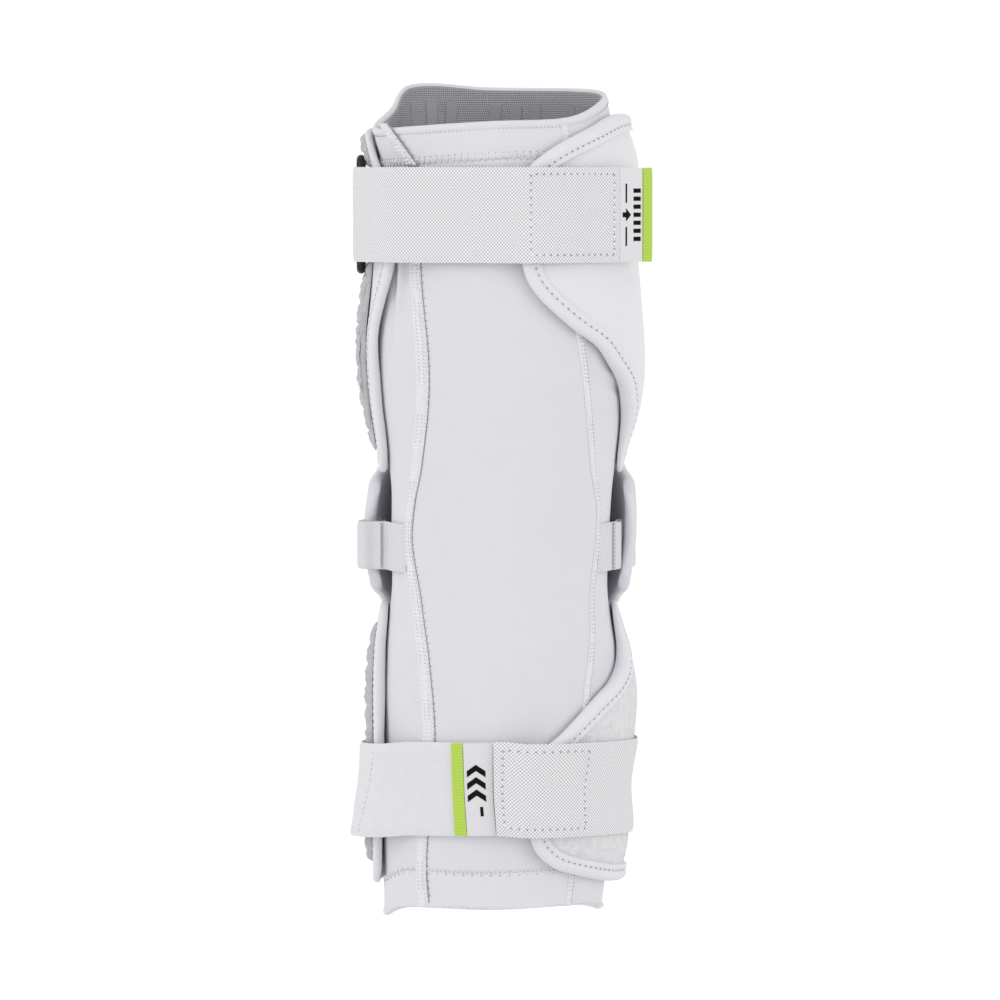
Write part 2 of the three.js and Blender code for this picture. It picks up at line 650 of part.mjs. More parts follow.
function ribbon(stations, width, thickness) {
  const curve = new THREE.CatmullRomCurve3(stations, false, 'centripetal');
  const last = stations.length - 1;
  const shares = stations.slice(0, -1).flatMap((station, k) => {
    const pieces = max(1, round(station.distanceTo(stations[k + 1]) / RIBBON_STEP));
    return between(0, 1, pieces + 1).slice(0, -1).map((t) => (k + t) / last);
  });
  const path = [...shares, 1].map((share) => curve.getPoint(share));
  const normals = path.map((_, k) => {
    const along = path[min(k + 1, path.length - 1)].clone().sub(path[max(k - 1, 0)]);
    return new THREE.Vector3(along.y, -along.x, 0).normalize();
  });
  const face = (side) => path.map((point, k) => [-0.5, 0.5].map((share) => {
    const edge = point.clone().addScaledVector(normals[k], side * thickness / 2);
    return edge.setZ(point.z + share * width);
  }));
  return slab(face(1), face(-1));
}

const alongArm = (table, z) => table.map(({ turn, out }) => armPoint(180 - turn, z, out * STRAP_LIFT));

// Half circle round an upright bar, from the side by the arm to the outside; side is the way it bulges in Y.
function wrapRound(x, y, side, z, extent = PI) {
  const radius = RING_BAR / 2 + WRAP_GAP + ELASTIC_THICKNESS / 2;
  const point = (turn) => new THREE.Vector3(x + radius * cos(turn), y + side * radius * sin(turn), z);
  return between(0, extent, 7).map(point);
}

// Ring and the webbing that keeps it on the shell
const barOffset = (RING_DEPTH - RING_BAR) / 2;
const shellUnderRing = SKIN_GAP + GUARD_PAD * read(UPPER_PADDING, 'angle', 'thickness', -95);
const ringOut = shellUnderRing + RING_CLEARANCE + ELASTIC_THICKNESS + WRAP_GAP + RING_BAR / 2;
const ringX = armPoint(-90, UPPER_LINE, ringOut).x;
const ringCorner = 3;
const ringPath = [[1, 1, 0], [-1, 1, 90], [-1, -1, 180], [1, -1, 270]].flatMap(([sideY, sideZ, start]) =>
  between(start, start + 90, 5).map((turn) => ({
    turn: degToRad(turn),
    y: sideY * (barOffset - ringCorner),
    z: UPPER_LINE + sideZ * ((RING_HEIGHT - RING_BAR) / 2 - ringCorner),
  })));
const ringSections = ringPath.map(({ turn, y, z }) => between(0, 2 * PI, 9).slice(0, -1).map((around) => {
  const reach = ringCorner + RING_BAR / 2 * cos(around);
  return new THREE.Vector3(ringX + RING_BAR / 2 * sin(around), y + reach * cos(turn), z + reach * sin(turn));
}));
add('ring', hoop(ringSections), '#1b1b1d', 0.3);

const keeperPath = [
  armPoint(-74, UPPER_LINE, shellUnderRing + ELASTIC_THICKNESS + GAP),
  ...wrapRound(ringX, barOffset, -1, UPPER_LINE, PI * 1.25),
  armPoint(-76.5, UPPER_LINE, shellUnderRing + 2 * ELASTIC_THICKNESS + GAP * 6),
  armPoint(-74, UPPER_LINE, shellUnderRing + 2 * ELASTIC_THICKNESS + GAP * 3),
];
add('ring_keeper', ribbon(keeperPath, KEEPER_WIDTH, ELASTIC_THICKNESS), '#e2e2e4', 0.9);

// Upper strap: under layer, round the ring, back over the near side and out as a free tab
const tabStart = alongArm(UPPER_TOP_LAYER, UPPER_LINE).at(-1);
const TAB_TURN = degToRad(32);
const TAPE_MARGIN = 3;
const LABEL_MARGIN = 0.25;
const tapeWidth = STRAP_WIDTH - 2 * TAPE_MARGIN;
const labelWidth = STRAP_WIDTH - 2 * LABEL_MARGIN;
const tabDirection = new THREE.Vector3(cos(TAB_TURN), sin(TAB_TURN), 0);
const tabPoint = (length) => tabStart.clone().addScaledVector(tabDirection, length);
const upperPath = [
  ...alongArm(UPPER_UNDER_LAYER, UPPER_LINE),
  ...wrapRound(ringX, -barOffset, 1, UPPER_LINE),
  ...alongArm(UPPER_TOP_LAYER, UPPER_LINE),
  tabPoint(TAB_FREE),
];
add('upper_strap', ribbon(upperPath, STRAP_WIDTH, ELASTIC_THICKNESS), '#dcdcdf', 0.95);

const hookPoint = (turn) => armPoint(180 - turn, UPPER_LINE, STRAP_LIFT + HOOK_THICKNESS);
const upperHook = between(15, 44, 8).map(hookPoint);
add('upper_strap_hook', ribbon(upperHook, tapeWidth, HOOK_THICKNESS), '#e4e4e6', 0.95);
const upperLabel = [TAB_FREE + GAP, TAB_FREE + LABEL_LENGTH].map(tabPoint);
add('upper_strap_label', ribbon(upperLabel, labelWidth, LABEL_THICKNESS), '#dededf', 0.5);
const pullStart = TAB_FREE + LABEL_LENGTH + GAP;
const upperPull = [pullStart, pullStart + PULL_LENGTH].map(tabPoint);
add('upper_strap_pull', ribbon(upperPull, labelWidth, LABEL_THICKNESS * 2), '#b4d455', 0.7);

// Lower strap: bands that lie on the arm between two turns
const BAND_STEP = 6;

function band(table, from, to, lift, thickness, width) {
  const turns = between(from, to, max(3, round(Math.abs(to - from) / BAND_STEP) + 1));
  const face = (offset) => turns.map((turn) => [-0.5, -0.17, 0.17, 0.5].map((share) => {
    const z = FOREARM_LINE + read(table, 'turn', 'rise', turn) * STRAP_WIDTH + share * width;
    const flare = 'flare' in table[0] ? read(table, 'turn', 'flare', turn) * STRAP_WIDTH * (0.5 - share) : 0;
    return armPoint(180 - turn, z, read(table, 'turn', 'out', turn) * STRAP_LIFT + flare + offset);
  }));
  return slab(face(lift + thickness), face(lift));
}
const PILE_END = 5;
const ELASTIC_START = -5;
const LOWER_LABEL = { from: ELASTIC_START - GAP, to: -17.3 };
const LOWER_STRIPE = { from: LOWER_LABEL.to - GAP, to: -24 };
const underStrap = -HOOK_THICKNESS - GAP * 2;
const onPile = PILE_THICKNESS + GAP;
const labelOf = ({ from, to }) => band(LOWER_PILE, from, to, onPile, LABEL_THICKNESS, labelWidth);
const lowerElastic = band(LOWER_ELASTIC, ELASTIC_START, 112, 0, ELASTIC_THICKNESS, STRAP_WIDTH);
const lowerHook = band(LOWER_ELASTIC, PILE_END + 1, 39, underStrap, HOOK_THICKNESS, tapeWidth);
add('lower_strap', lowerElastic, '#dedee1', 0.95);
add('lower_strap_hook', lowerHook, '#e4e4e6', 0.95);
add('lower_strap_pile', band(LOWER_PILE, -118, PILE_END, 0, PILE_THICKNESS, STRAP_WIDTH), '#e2e2e4', 1);
add('lower_strap_label', labelOf(LOWER_LABEL), '#dededf', 0.5);
add('lower_strap_stripe', labelOf(LOWER_STRIPE), '#b4d455', 0.7);

// Cap straps: from each seam out to the cap and through its slot
const SEAM_SIDE = 1.3;
const capStrapPoint = (angle, out) => armPoint(angle, CAP_STRAP_HEIGHT, out);
const onSleeve = SKIN_GAP - GAP;

// Point of a strap at a distance from the cap's inner face, near the slot or the side edge.
function byCap(angle, past) {
  return capStrapPoint(angle, CAP_STAND_OFF + capDome(angle) + past);
}
const offSeam = (width) => radToDeg(width / ARM_WIDTH) + SEAM_SIDE;
const leftSeamAngle = -180 - seamTurn(LEFT_SEAM)(CAP_STRAP_HEIGHT) + offSeam(LEFT_SEAM_WIDTH);
const rightSeamAngle = 180 - seamTurn(RIGHT_SEAM)(CAP_STRAP_HEIGHT) - offSeam(RIGHT_SEAM_WIDTH);
const leftCapPath = [
  capStrapPoint(leftSeamAngle, onSleeve),
  capStrapPoint(-CAP_REACH - 16, onSleeve),
  capStrapPoint(-CAP_REACH - 7, onSleeve + GAP * 3),
  byCap(-CAP_REACH - 3.6, 0),
  byCap(-CAP_REACH - 2.9, CAP_WALL * 0.84),
  byCap(-CAP_REACH + 1, CAP_WALL + ELASTIC_THICKNESS * 1.4),
  byCap(-SLOT_ANGLE - 5.5, CAP_WALL + ELASTIC_THICKNESS * 1.2),
  byCap(-SLOT_ANGLE - 0.7, CAP_WALL + GAP),
  byCap(-SLOT_ANGLE + 0.4, CAP_WALL * 0.4),
  byCap(-SLOT_ANGLE - 0.4, -ELASTIC_THICKNESS),
  byCap(-SLOT_ANGLE - 4, -CAP_STAND_OFF * 0.75),
];
const rightCapPath = [
  capStrapPoint(rightSeamAngle, onSleeve),
  capStrapPoint(CAP_REACH + 13, onSleeve + GAP),
  byCap(CAP_REACH + 2, -CAP_STAND_OFF * 0.76),
  byCap(SLOT_ANGLE + 4, -CAP_STAND_OFF * 0.68),
  byCap(SLOT_ANGLE + 0.3, 0),
  byCap(SLOT_ANGLE, CAP_WALL * 0.7),
  byCap(SLOT_ANGLE - 1, CAP_WALL + ELASTIC_THICKNESS),
  byCap(SLOT_ANGLE - 4, CAP_WALL + ELASTIC_THICKNESS * 1.8),
  byCap(SLOT_ANGLE - 10, CAP_WALL + ELASTIC_THICKNESS * 1.8),
];
add('left_cap_strap', ribbon(leftCapPath, CAP_STRAP_WIDTH, ELASTIC_THICKNESS), '#dfdee2', 0.9);
add('right_cap_strap', ribbon(rightCapPath, CAP_STRAP_WIDTH, ELASTIC_THICKNESS), '#dfdee2', 0.9);

export default group;
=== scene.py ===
from math import cos, pi, radians, sin

import bmesh
import bpy
import numpy as np
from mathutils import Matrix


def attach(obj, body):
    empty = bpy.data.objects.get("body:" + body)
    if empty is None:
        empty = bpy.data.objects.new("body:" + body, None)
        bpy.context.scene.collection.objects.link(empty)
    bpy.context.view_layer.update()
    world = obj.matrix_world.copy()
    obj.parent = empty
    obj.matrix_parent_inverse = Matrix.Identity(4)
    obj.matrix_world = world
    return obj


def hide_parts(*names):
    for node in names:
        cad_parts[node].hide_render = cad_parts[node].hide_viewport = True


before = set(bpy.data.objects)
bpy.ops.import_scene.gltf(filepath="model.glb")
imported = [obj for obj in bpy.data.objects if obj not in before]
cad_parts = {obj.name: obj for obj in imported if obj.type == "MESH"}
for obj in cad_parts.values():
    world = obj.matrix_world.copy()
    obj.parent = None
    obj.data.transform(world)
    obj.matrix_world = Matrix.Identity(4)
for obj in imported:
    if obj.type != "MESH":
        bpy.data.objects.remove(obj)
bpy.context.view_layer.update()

# Camera: a long lens 2.2 m away on the near side, a little above the middle of the arm.
CAMERA_DISTANCE = 2.2
CAMERA_RISE = radians(3.5)
CAMERA_AIM = 0.0142
PICTURE_WIDTH = 0.405
camera = bpy.data.objects.new("camera", bpy.data.cameras.new("camera"))
camera.location = (
    0,
    -CAMERA_DISTANCE * cos(CAMERA_RISE),
    CAMERA_AIM + CAMERA_DISTANCE * sin(CAMERA_RISE),
)
camera.rotation_euler = (pi / 2 - CAMERA_RISE, 0, 0)
camera.data.lens = camera.data.sensor_width * CAMERA_DISTANCE / PICTURE_WIDTH
bpy.context.collection.objects.link(camera)
bpy.context.scene.camera = camera


# Studio: lit white paper that sweeps up behind the pad, pale walls all round and three soft boxes.
# The pad is held up in the air, so the paper lies well below it and starts behind it.
def linear(colour):
    """Linear RGBA of an sRGB hex colour."""
    parts = [int(colour[i : i + 2], 16) / 255 for i in (1, 3, 5)]
    return (*[c / 12.92 if c <= 0.04045 else ((c + 0.055) / 1.055) ** 2.4 for c in parts], 1)


def material(name, colour, roughness, **surface):
    """New material with a Principled surface of one colour."""
    made = bpy.data.materials.new(name)
    made.use_nodes = True
    inputs = made.node_tree.nodes["Principled BSDF"].inputs
    inputs["Base Color"].default_value = linear(colour)
    inputs["Roughness"].default_value = roughness
    for key, value in surface.items():
        inputs[key.replace("_", " ")].default_value = value
    return made


def mesh_object(name, points, faces, paint):
    """Smooth mesh object from points in mm."""
    mesh = bpy.data.meshes.new(name)
    mesh.from_pydata((np.reshape(points, (-1, 3)) / 1000).tolist(), [], faces)
    mesh.materials.append(paint)
    mesh.polygons.foreach_set("use_smooth", np.ones(len(mesh.polygons), bool))
    made = bpy.data.objects.new(name, mesh)
    bpy.context.collection.objects.link(made)
    return made


def cells(grid):
    """Quads of a grid of indices."""
    return np.stack([grid[:-1, :-1], grid[:-1, 1:], grid[1:, 1:], grid[1:, :-1]], -1).reshape(-1, 4)


PAPER_DROP = 260
PAPER_BEND = 500
PAPER_HALF = 3000
PAPER_START = 250
PAPER_BACK = 3600
PAPER_TOP = 2600
bend = np.radians(np.linspace(0, 90, 19))
paper_y = np.concatenate([[PAPER_START], PAPER_BACK + PAPER_BEND * np.sin(bend), [PAPER_BACK + PAPER_BEND]])
paper_z = np.concatenate([[0], PAPER_BEND * (1 - np.cos(bend)), [PAPER_TOP]]) - PAPER_DROP
paper_points = [[side * PAPER_HALF, y, z] for y, z in zip(paper_y, paper_z) for side in (-1, 1)]
paper_index = np.arange(len(paper_points)).reshape(-1, 2)
studio_paper = material(
    "studio_paper", "#202020", 0.9, Emission_Color=(1, 1, 1, 1), Emission_Strength=1.02
)
mesh_object("paper", paper_points, cells(paper_index).tolist(), studio_paper)

world = bpy.data.worlds.new("studio")
world.use_nodes = True
world.node_tree.nodes["Background"].inputs["Color"].default_value = (1, 0.998, 0.99, 1)
world.node_tree.nodes["Background"].inputs["Strength"].default_value = 0.81
bpy.context.scene.world = world
bpy.context.scene.view_settings.view_transform = "Standard"


def soft_box(name, place, size, power):
    """Square area light that points at the pad."""
    lamp = bpy.data.lights.new(name, "AREA")
    lamp.size = size
    lamp.energy = power
    made = bpy.data.objects.new(name, lamp)
    made.location = place
    made.rotation_euler = made.location.to_track_quat("Z", "Y").to_euler()
    bpy.context.collection.objects.link(made)


soft_box("key_light", (-1.5, -1.5, 1.5), 1.0, 6)
soft_box("fill_light", (1.8, -1.3, 0.3), 1.2, 9)
soft_box("left_light", (-2.0, -1.0, 0.1), 1.2, 7)


# Sleeve: the stretch jersey tube that the arm goes through, thin and close to the skin.
# It is knitted, cut in two panels and sewn; the cuffs, guards and straps are all fixed to it.
ARM_WIDTH = 100
ARM_DEPTH = 85
ABOVE_ELBOW = 167
BELOW_ELBOW = 150
SLEEVE_WALL = 1.6
CUFF_HEIGHT = 15
FOLD_REACH = 24
FOLD_SIZE = 3.2
# Height share, half width, half depth, shift.
FORM = [
    (-1.03, 0.435, 0.374, -0.03), (-0.8, 0.46, 0.435, -0.012), (-0.667, 0.452, 0.454, -0.012),
    (-0.533, 0.47, 0.478, 0), (-0.307, 0.47, 0.488, 0.003), (-0.147, 0.437, 0.476, 0),
    (0, 0.44, 0.471, 0), (0.132, 0.45, 0.476, 0.008), (0.329, 0.495, 0.494, 0.005),
    (0.479, 0.505, 0.5, 0), (0.647, 0.479, 0.486, 0), (0.778, 0.475, 0.482, 0),
    (0.91, 0.475, 0.482, 0), (1.05, 0.47, 0.482, -0.05), (1.1, 0.47, 0.482, -0.055),
]
RIM = [
    (-180, 1), (-120, 0.985), (-95, 0.988), (-70, 1.03), (-40, 1.093), (0, 1.087), (70, 1.078),
    (105, 1.048), (140, 1.009), (180, 1),
]
HEM = [(-180, -0.99), (-130, -0.993), (-95, -1.03), (0, -1), (95, -1.013), (130, -0.987), (180, -0.99)]
# Angle, spread in degrees, height.
FOLDS = [(-97, 15, 0.5), (-66, 17, -1.25), (-38, 12, 0.8), (80, 15, 0.469), (180, 20, -0.312)]


def read(table, at, column=1):
    """Smooth value of one column of a table, held level past both ends."""
    keys, values = np.array(table, float)[:, [0, column]].T
    low = np.maximum(np.arange(len(keys)) - 1, 0)
    high = np.minimum(np.arange(len(keys)) + 1, len(keys) - 1)
    slope = (values[high] - values[low]) / (keys[high] - keys[low])
    at = np.clip(at, keys[0], keys[-1])
    i = np.clip(np.searchsorted(keys, at, side="right") - 1, 0, len(keys) - 2)
    step = keys[i + 1] - keys[i]
    t = (at - keys[i]) / step
    level = values[i] + (values[i + 1] - values[i]) * t * t * (3 - 2 * t)
    return level + step * t * (1 - t) * ((1 - t) * slope[i] - t * slope[i + 1])


def wrapped(angle):
    return (np.asarray(angle) + 540) % 360 - 180


def rim_height(angle):
    return read(RIM, wrapped(angle)) * ABOVE_ELBOW


def hem_height(angle):
    return read(HEM, wrapped(angle)) * BELOW_ELBOW


def crest(at, middle, spread):
    """Soft hump of height 1."""
    return np.exp(-(((at - middle) / spread) ** 2))


def arm(angle, z, out):
    """Point at a distance out from the sleeve's outer face, at an angle from the far side."""
    z = np.asarray(z, float)
    share = np.where(z > 0, z / ABOVE_ELBOW, z / BELOW_ELBOW)
    width = read(FORM, share) * ARM_WIDTH
    depth = read(FORM, share, 2) * ARM_DEPTH
    rise = np.clip((z - rim_height(angle)) / FOLD_REACH + 1, 0, 1)
    fold = sum(size * crest(wrapped(np.asarray(angle) - at), 0, wide) for at, wide, size in FOLDS)
    turn = np.radians(angle)
    across, back = np.sin(turn), np.cos(turn)
    reach = (out + fold * FOLD_SIZE * rise * rise * (3 - 2 * rise)) / np.hypot(
        depth * across, width * back
    )
    x = read(FORM, share, 3) * ARM_WIDTH + width * across + depth * across * reach
    y = depth * back + width * back * reach
    return np.stack(np.broadcast_arrays(x, y, z), -1)


def waves(x, y, size):
    """Gentle uneven swell between -1 and 1, about one wave for each size of length."""
    x, y = 6.28 * np.asarray(x) / size, 6.28 * np.asarray(y) / size
    swell = np.sin(0.9 * x + 1.3) * np.cos(1.1 * y + 0.4) + np.sin(0.7 * x + 0.8 * y + 2.1)
    return (swell + np.cos(0.6 * x - 1.3 * y + 0.8)) / 3


def node(made, kind, inputs=None, **settings):
    """Adds a node: settings are its properties, inputs its values or the sockets linked to them."""
    new = made.node_tree.nodes.new("ShaderNode" + kind)
    for key, value in settings.items():
        setattr(new, key, value)
    for key, value in (inputs or {}).items():
        if isinstance(value, bpy.types.NodeSocket):
            made.node_tree.links.new(value, new.inputs[key])
        else:
            new.inputs[key].default_value = value
    return new


def relief(made, height, dark, light, depth):
    """Colours a material from dark to light with height, from 0 to 1, and raises it by depth mm. Lower parts
    come out darker: painted shade in the hollows of a pattern, uneven tone where the height is grain.
    """
    inputs = made.node_tree.nodes["Principled BSDF"].inputs
    tint = node(made, "Mix", {0: height, 6: linear(dark), 7: linear(light)}, data_type="RGBA")
    made.node_tree.links.new(tint.outputs[2], inputs["Base Color"])
    raised = node(made, "Bump", {"Height": height, "Distance": depth / 1000, "Strength": 1})
    made.node_tree.links.new(raised.outputs[0], inputs["Normal"])


# Period of one wave texture of scale 1.
WAVE = 0.31416


def lattice(made, across, along, turn=0):
    """Height of a woven lattice on the UV map in mm: raised dots between sunk ones."""
    flat = node(made, "TexCoord").outputs["UV"]
    turned = node(made, "Mapping", {0: flat, "Rotation": (0, 0, turn)}).outputs[0]
    first = node(made, "TexWave", {0: turned, "Scale": WAVE / across}, bands_direction="X")
    second = node(made, "TexWave", {0: turned, "Scale": WAVE / along}, bands_direction="Y")
    other = node(made, "Math", {0: 1, 1: second.outputs["Fac"]}, operation="SUBTRACT")
    links = {0: first.outputs["Fac"], 2: other.outputs[0], 3: second.outputs["Fac"]}
    return node(made, "Mix", links).outputs[0]


def grain(made, size, stretch=(1, 1, 1), detail=3):
    """Height of uneven grain on the UV map, with size in mm."""
    flat = node(made, "TexCoord").outputs["UV"]
    scaled = node(made, "Mapping", {0: flat, "Scale": stretch}).outputs[0]
    return node(made, "TexNoise", {"Vector": scaled, "Scale": 1 / size, "Detail": detail}).outputs[0]


def uneven(made, pattern, size, share, **look):
    """Height of a pattern with a share of uneven grain of a size in mm mixed in."""
    return node(made, "Mix", {0: share, 2: pattern, 3: grain(made, size, **look)}).outputs[0]


def finished(made, slot, nodes):
    """Makes an object part of the pad: it rides on the root and stands for CAD nodes."""
    shape = bmesh.new()
    shape.from_mesh(made.data)
    bmesh.ops.recalc_face_normals(shape, faces=shape.faces)
    shape.to_mesh(made.data)
    shape.free()
    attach(made, "root")
    if nodes:
        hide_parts(*nodes)
    return made


def sweep(name, sections, uv, paint, slot, nodes, closed=0):
    """Closed solid through a row of closed sections; closed is the length of a row that is a ring."""
    index = np.arange(sections.shape[0] * sections.shape[1]).reshape(sections.shape[:2])
    if closed:
        index = np.vstack([index, index[:1]])
        uv = np.concatenate([uv, uv[:1] + np.array([closed, 0])])
    index = np.hstack([index, index[:, :1]])
    uv = np.concatenate([uv, uv[:, :1]], 1)
    spots = np.arange(uv.shape[0] * uv.shape[1]).reshape(uv.shape[:2])
    faces = cells(index).tolist()
    at = uv.reshape(-1, 2)[cells(spots).ravel()]
    if not closed:
        faces += [index[0, :-1].tolist(), index[-1, -2::-1].tolist()]
        at = np.concatenate([at, uv[0, :-1], uv[-1, -2::-1]])
    made = mesh_object(name, sections, faces, paint)
    made.data.uv_layers.new(name="mm").data.foreach_set("uv", at.ravel())
    return finished(made, slot, nodes)


GIRTH_RADIUS = 47
TUBE_ANGLES = np.arange(0, 360, 1.5)
GIRTH = 2 * pi * GIRTH_RADIUS


def girth(angle):
    return np.radians(angle) * GIRTH_RADIUS


def tube(name, heights, outs, paint, slot, nodes):
    """Ring round the arm: heights and outs are arrays, angles by points of the section."""
    angles = np.broadcast_to(TUBE_ANGLES[:, None], heights.shape)
    uv = np.stack([girth(angles), heights], -1)
    return sweep(name, arm(angles, heights, outs), uv, paint, slot, nodes, closed=GIRTH)


# Pulls under the upper strap: turn, spread in degrees, height.
PULLS = [(-61, 2.6, -2.6), (-56.5, 2.4, 1.4), (-52, 2.2, -2.2)]
PULLS_START = 62
PULLS_END = 150


def drape(angle, z):
    """How far the sleeve's cloth stands off its even form: pulls under the strap, puckers, swell."""
    turn = wrapped(180 - np.asarray(angle))
    x = girth(turn)
    pull = np.clip((z - PULLS_START) / 50, 0, 1) ** 2 * np.clip((PULLS_END - z) / 12, 0, 1)
    folds = sum(size * crest(turn, at, wide) for at, wide, size in PULLS)
    pucker = crest(turn, 66, 9) * crest(z, 67, 12) * np.sin((z + 0.35 * x) * 0.85)
    lower = crest(turn, 60, 12) * crest(z, -48, 18) * np.sin((z - 0.5 * x) * 0.42)
    return pull * folds + 0.55 * pucker + 0.35 * lower + 0.35 * waves(x, z, 60)


def cloth(name, colour, roughness, sheen, haze=0.5):
    """Fabric: a rough surface with the soft sheen of its fibres; haze is the sheen's own roughness."""
    return material(name, colour, roughness, Sheen_Weight=sheen, Sheen_Roughness=haze, IOR=1.45)


jersey = cloth("stretch_jersey", "#dfdfe4", 0.8, 0.12, 0.4)
# Fine knitted loops, drawn about twice as coarse as real ones, under a faint unevenness.
KNIT = (1.1, 0.9)
relief(jersey, uneven(jersey, lattice(jersey, *KNIT), 9, 0.45), "#d9d9de", "#e3e3e8", 0.05)

SLEEVE_ROWS = 180
INNER_ROWS = 24
up = np.linspace(0, 1, SLEEVE_ROWS)
down = np.linspace(1, 0, INNER_ROWS)
bottom = (hem_height(TUBE_ANGLES) + CUFF_HEIGHT)[:, None]
top = (rim_height(TUBE_ANGLES) - CUFF_HEIGHT)[:, None]
sleeve_z = bottom + (top - bottom) * np.concatenate([up, down])
sleeve_out = np.zeros_like(sleeve_z)
sleeve_out[:, :SLEEVE_ROWS] = drape(TUBE_ANGLES[:, None], sleeve_z[:, :SLEEVE_ROWS])
sleeve_out[:, SLEEVE_ROWS:] = -SLEEVE_WALL
sleeve = tube("sleeve_jersey", sleeve_z, sleeve_out, jersey, "jersey", ["sleeve"])


# Cuffs: doubled jersey bands at both ends, turned over at the edge and overlocked.
# A zigzag of thick thread holds each one to the sleeve.
def section(profile, base):
    """Heights and outs of a ring whose section is profile, with heights from base."""
    profile = np.array(profile, float)
    return base[:, None] + profile[:, 0], np.broadcast_to(profile[:, 1], (len(base), len(profile)))


cuff_jersey = cloth("doubled_jersey", "#e1e1e6", 0.8, 0.12, 0.4)
# The same knit as the sleeve, a little lighter because it is doubled.
relief(cuff_jersey, uneven(cuff_jersey, lattice(cuff_jersey, *KNIT), 7, 0.45), "#dbdbe0", "#e5e5ea", 0.05)

TOP_PROFILE = [
    (-15, -1.4), (-15.3, -0.6), (-15.1, -0.1), (-14.4, 0.12), (-13.4, 0.2), (-11, 0.3), (-8, 0.4),
    (-5, 0.45), (-3.3, 0.4), (-2.7, 0.5), (-2.1, 0.85), (-1.5, 0.6), (-0.9, 0.5), (-0.3, 0.2),
    (0, -0.4), (-0.1, -1.1), (-0.6, -1.6), (-1.5, -1.8), (-4, -1.9), (-6.4, -1.95), (-6.9, -1.5),
    (-10, -1.4),
]
top_z, top_out = section(TOP_PROFILE, rim_height(TUBE_ANGLES))
top_out = top_out + 0.3 * waves(girth(TUBE_ANGLES), 0, 34)[:, None] * (top_out > 0)
top_cuff = tube("top_cuff_band", top_z, top_out, cuff_jersey, "cuff_jersey", ["top_cuff"])

HEM_PROFILE = [
    (15.2, -1.5), (15.5, -0.1), (14.8, 0.2), (13, 0.3), (9, 0.35), (5, 0.4), (2.6, 0.5), (1.9, 0.85),
    (1.1, 0.95), (0.3, 0.6), (0, -0.4), (0.4, -1.4), (1.5, -1.7), (6, -1.6),
]
hem_z, hem_out = section(HEM_PROFILE, hem_height(TUBE_ANGLES))
hem_out = hem_out + 0.35 * waves(girth(TUBE_ANGLES), 0, 41)[:, None] * (hem_out > 0)
bottom_cuff = tube("bottom_cuff_band", hem_z, hem_out, cuff_jersey, "cuff_jersey", ["bottom_cuff"])

thread = material("polyester_thread", "#efeff3", 0.45, Sheen_Weight=0.1, IOR=1.5)
# Twisted yarn: fine slanting lines that catch the light.
twist = node(thread, "TexCoord").outputs["Object"]
strands = node(thread, "TexWave", {0: twist, "Scale": 420}, bands_direction="DIAGONAL")
relief(thread, strands.outputs["Fac"], "#e6e6ea", "#f6f6f8", 0.03)
needle_hole = material("needle_hole_shadow", "#9fa0a7", 0.95)
# Holes that the thread pulls open: only shadow shows, a little uneven.
relief(needle_hole, grain(needle_hole, 1), "#96979e", "#a8a9b0", 0.02)


def spans(x1, y1, x2, y2):
    """Lines from one row of points to another, as pairs of points."""
    return np.stack(np.broadcast_arrays(x1, y1, x2, y2), 1).reshape(-1, 2, 2)


def stitches(name, lines, place, radius, slot, lift):
    """Thread lying on a face: each line is a pair of points in the plane that place maps to space."""
    lines = np.asarray(lines, float)
    start, end = (place(lines[:, k, 0], lines[:, k, 1], lift) for k in (0, 1))
    normal = place(lines[:, 0, 0], lines[:, 0, 1], lift + 1) - start
    normal /= np.linalg.norm(normal, axis=1)[:, None]
    side = np.cross(normal, end - start)
    side /= np.linalg.norm(side, axis=1)[:, None]
    rings = []
    for along, size, high in ((0, 0.35, -0.4), (0.22, 0.95, 0.35), (0.78, 0.95, 0.35), (1, 0.35, -0.4)):
        middle = start + (end - start) * along + normal * high * radius
        for k in range(6):
            around = 2 * pi * k / 6
            rings.append(middle + radius * size * (side * cos(around) + normal * sin(around) * 0.8))
    points = np.stack(rings, 1)
    one = np.arange(len(rings)).reshape(4, 6)
    quads = cells(np.hstack([one, one[:, :1]])).tolist()
    pattern = quads + [one[0].tolist(), one[-1, ::-1].tolist()]
    faces = [[len(rings) * i + k for k in face] for i in range(len(lines)) for face in pattern]
    finished(mesh_object(name, points, faces, thread), slot, ())


def plates(name, outlines, place, low, high, paint, slot):
    """Thin flat shapes on a face: each outline is a loop of points in the plane of place."""
    points, faces, first = [], [], 0
    for outline in outlines:
        outline = np.asarray(outline, float)
        count = len(outline)
        for level in (low, high):
            points.append(place(outline[:, 0], outline[:, 1], level))
        ring = np.arange(first, first + 2 * count).reshape(2, count)
        faces += cells(np.hstack([ring, ring[:, :1]])).tolist() + [ring[1].tolist()]
        first += 2 * count
    made = mesh_object(name, np.concatenate(points), faces, paint)
    flat = np.concatenate([np.tile(np.asarray(o, float), (2, 1)) for o in outlines])
    loops = np.empty(len(made.data.loops), int)
    made.data.loops.foreach_get("vertex_index", loops)
    made.data.uv_layers.new(name="mm").data.foreach_set("uv", flat[loops].ravel())
    made.data.set_sharp_from_angle(angle=radians(40))
    finished(made, slot, ())


def dots(centres, radius):
    """Small six-sided outlines round centres."""
    ring = np.array([(cos(k * pi / 3), sin(k * pi / 3)) for k in range(6)]) * radius
    return [np.asarray(centre) + ring for centre in centres]


def far_angle(x):
    """Angle from the far side of a place x along the girth from the near side."""
    return 180 - np.degrees(np.asarray(x) / GIRTH_RADIUS)


def on_arm(x, z, out):
    """Place on the sleeve: x along the girth from the near side, plus to the right."""
    return arm(far_angle(x), z, out)


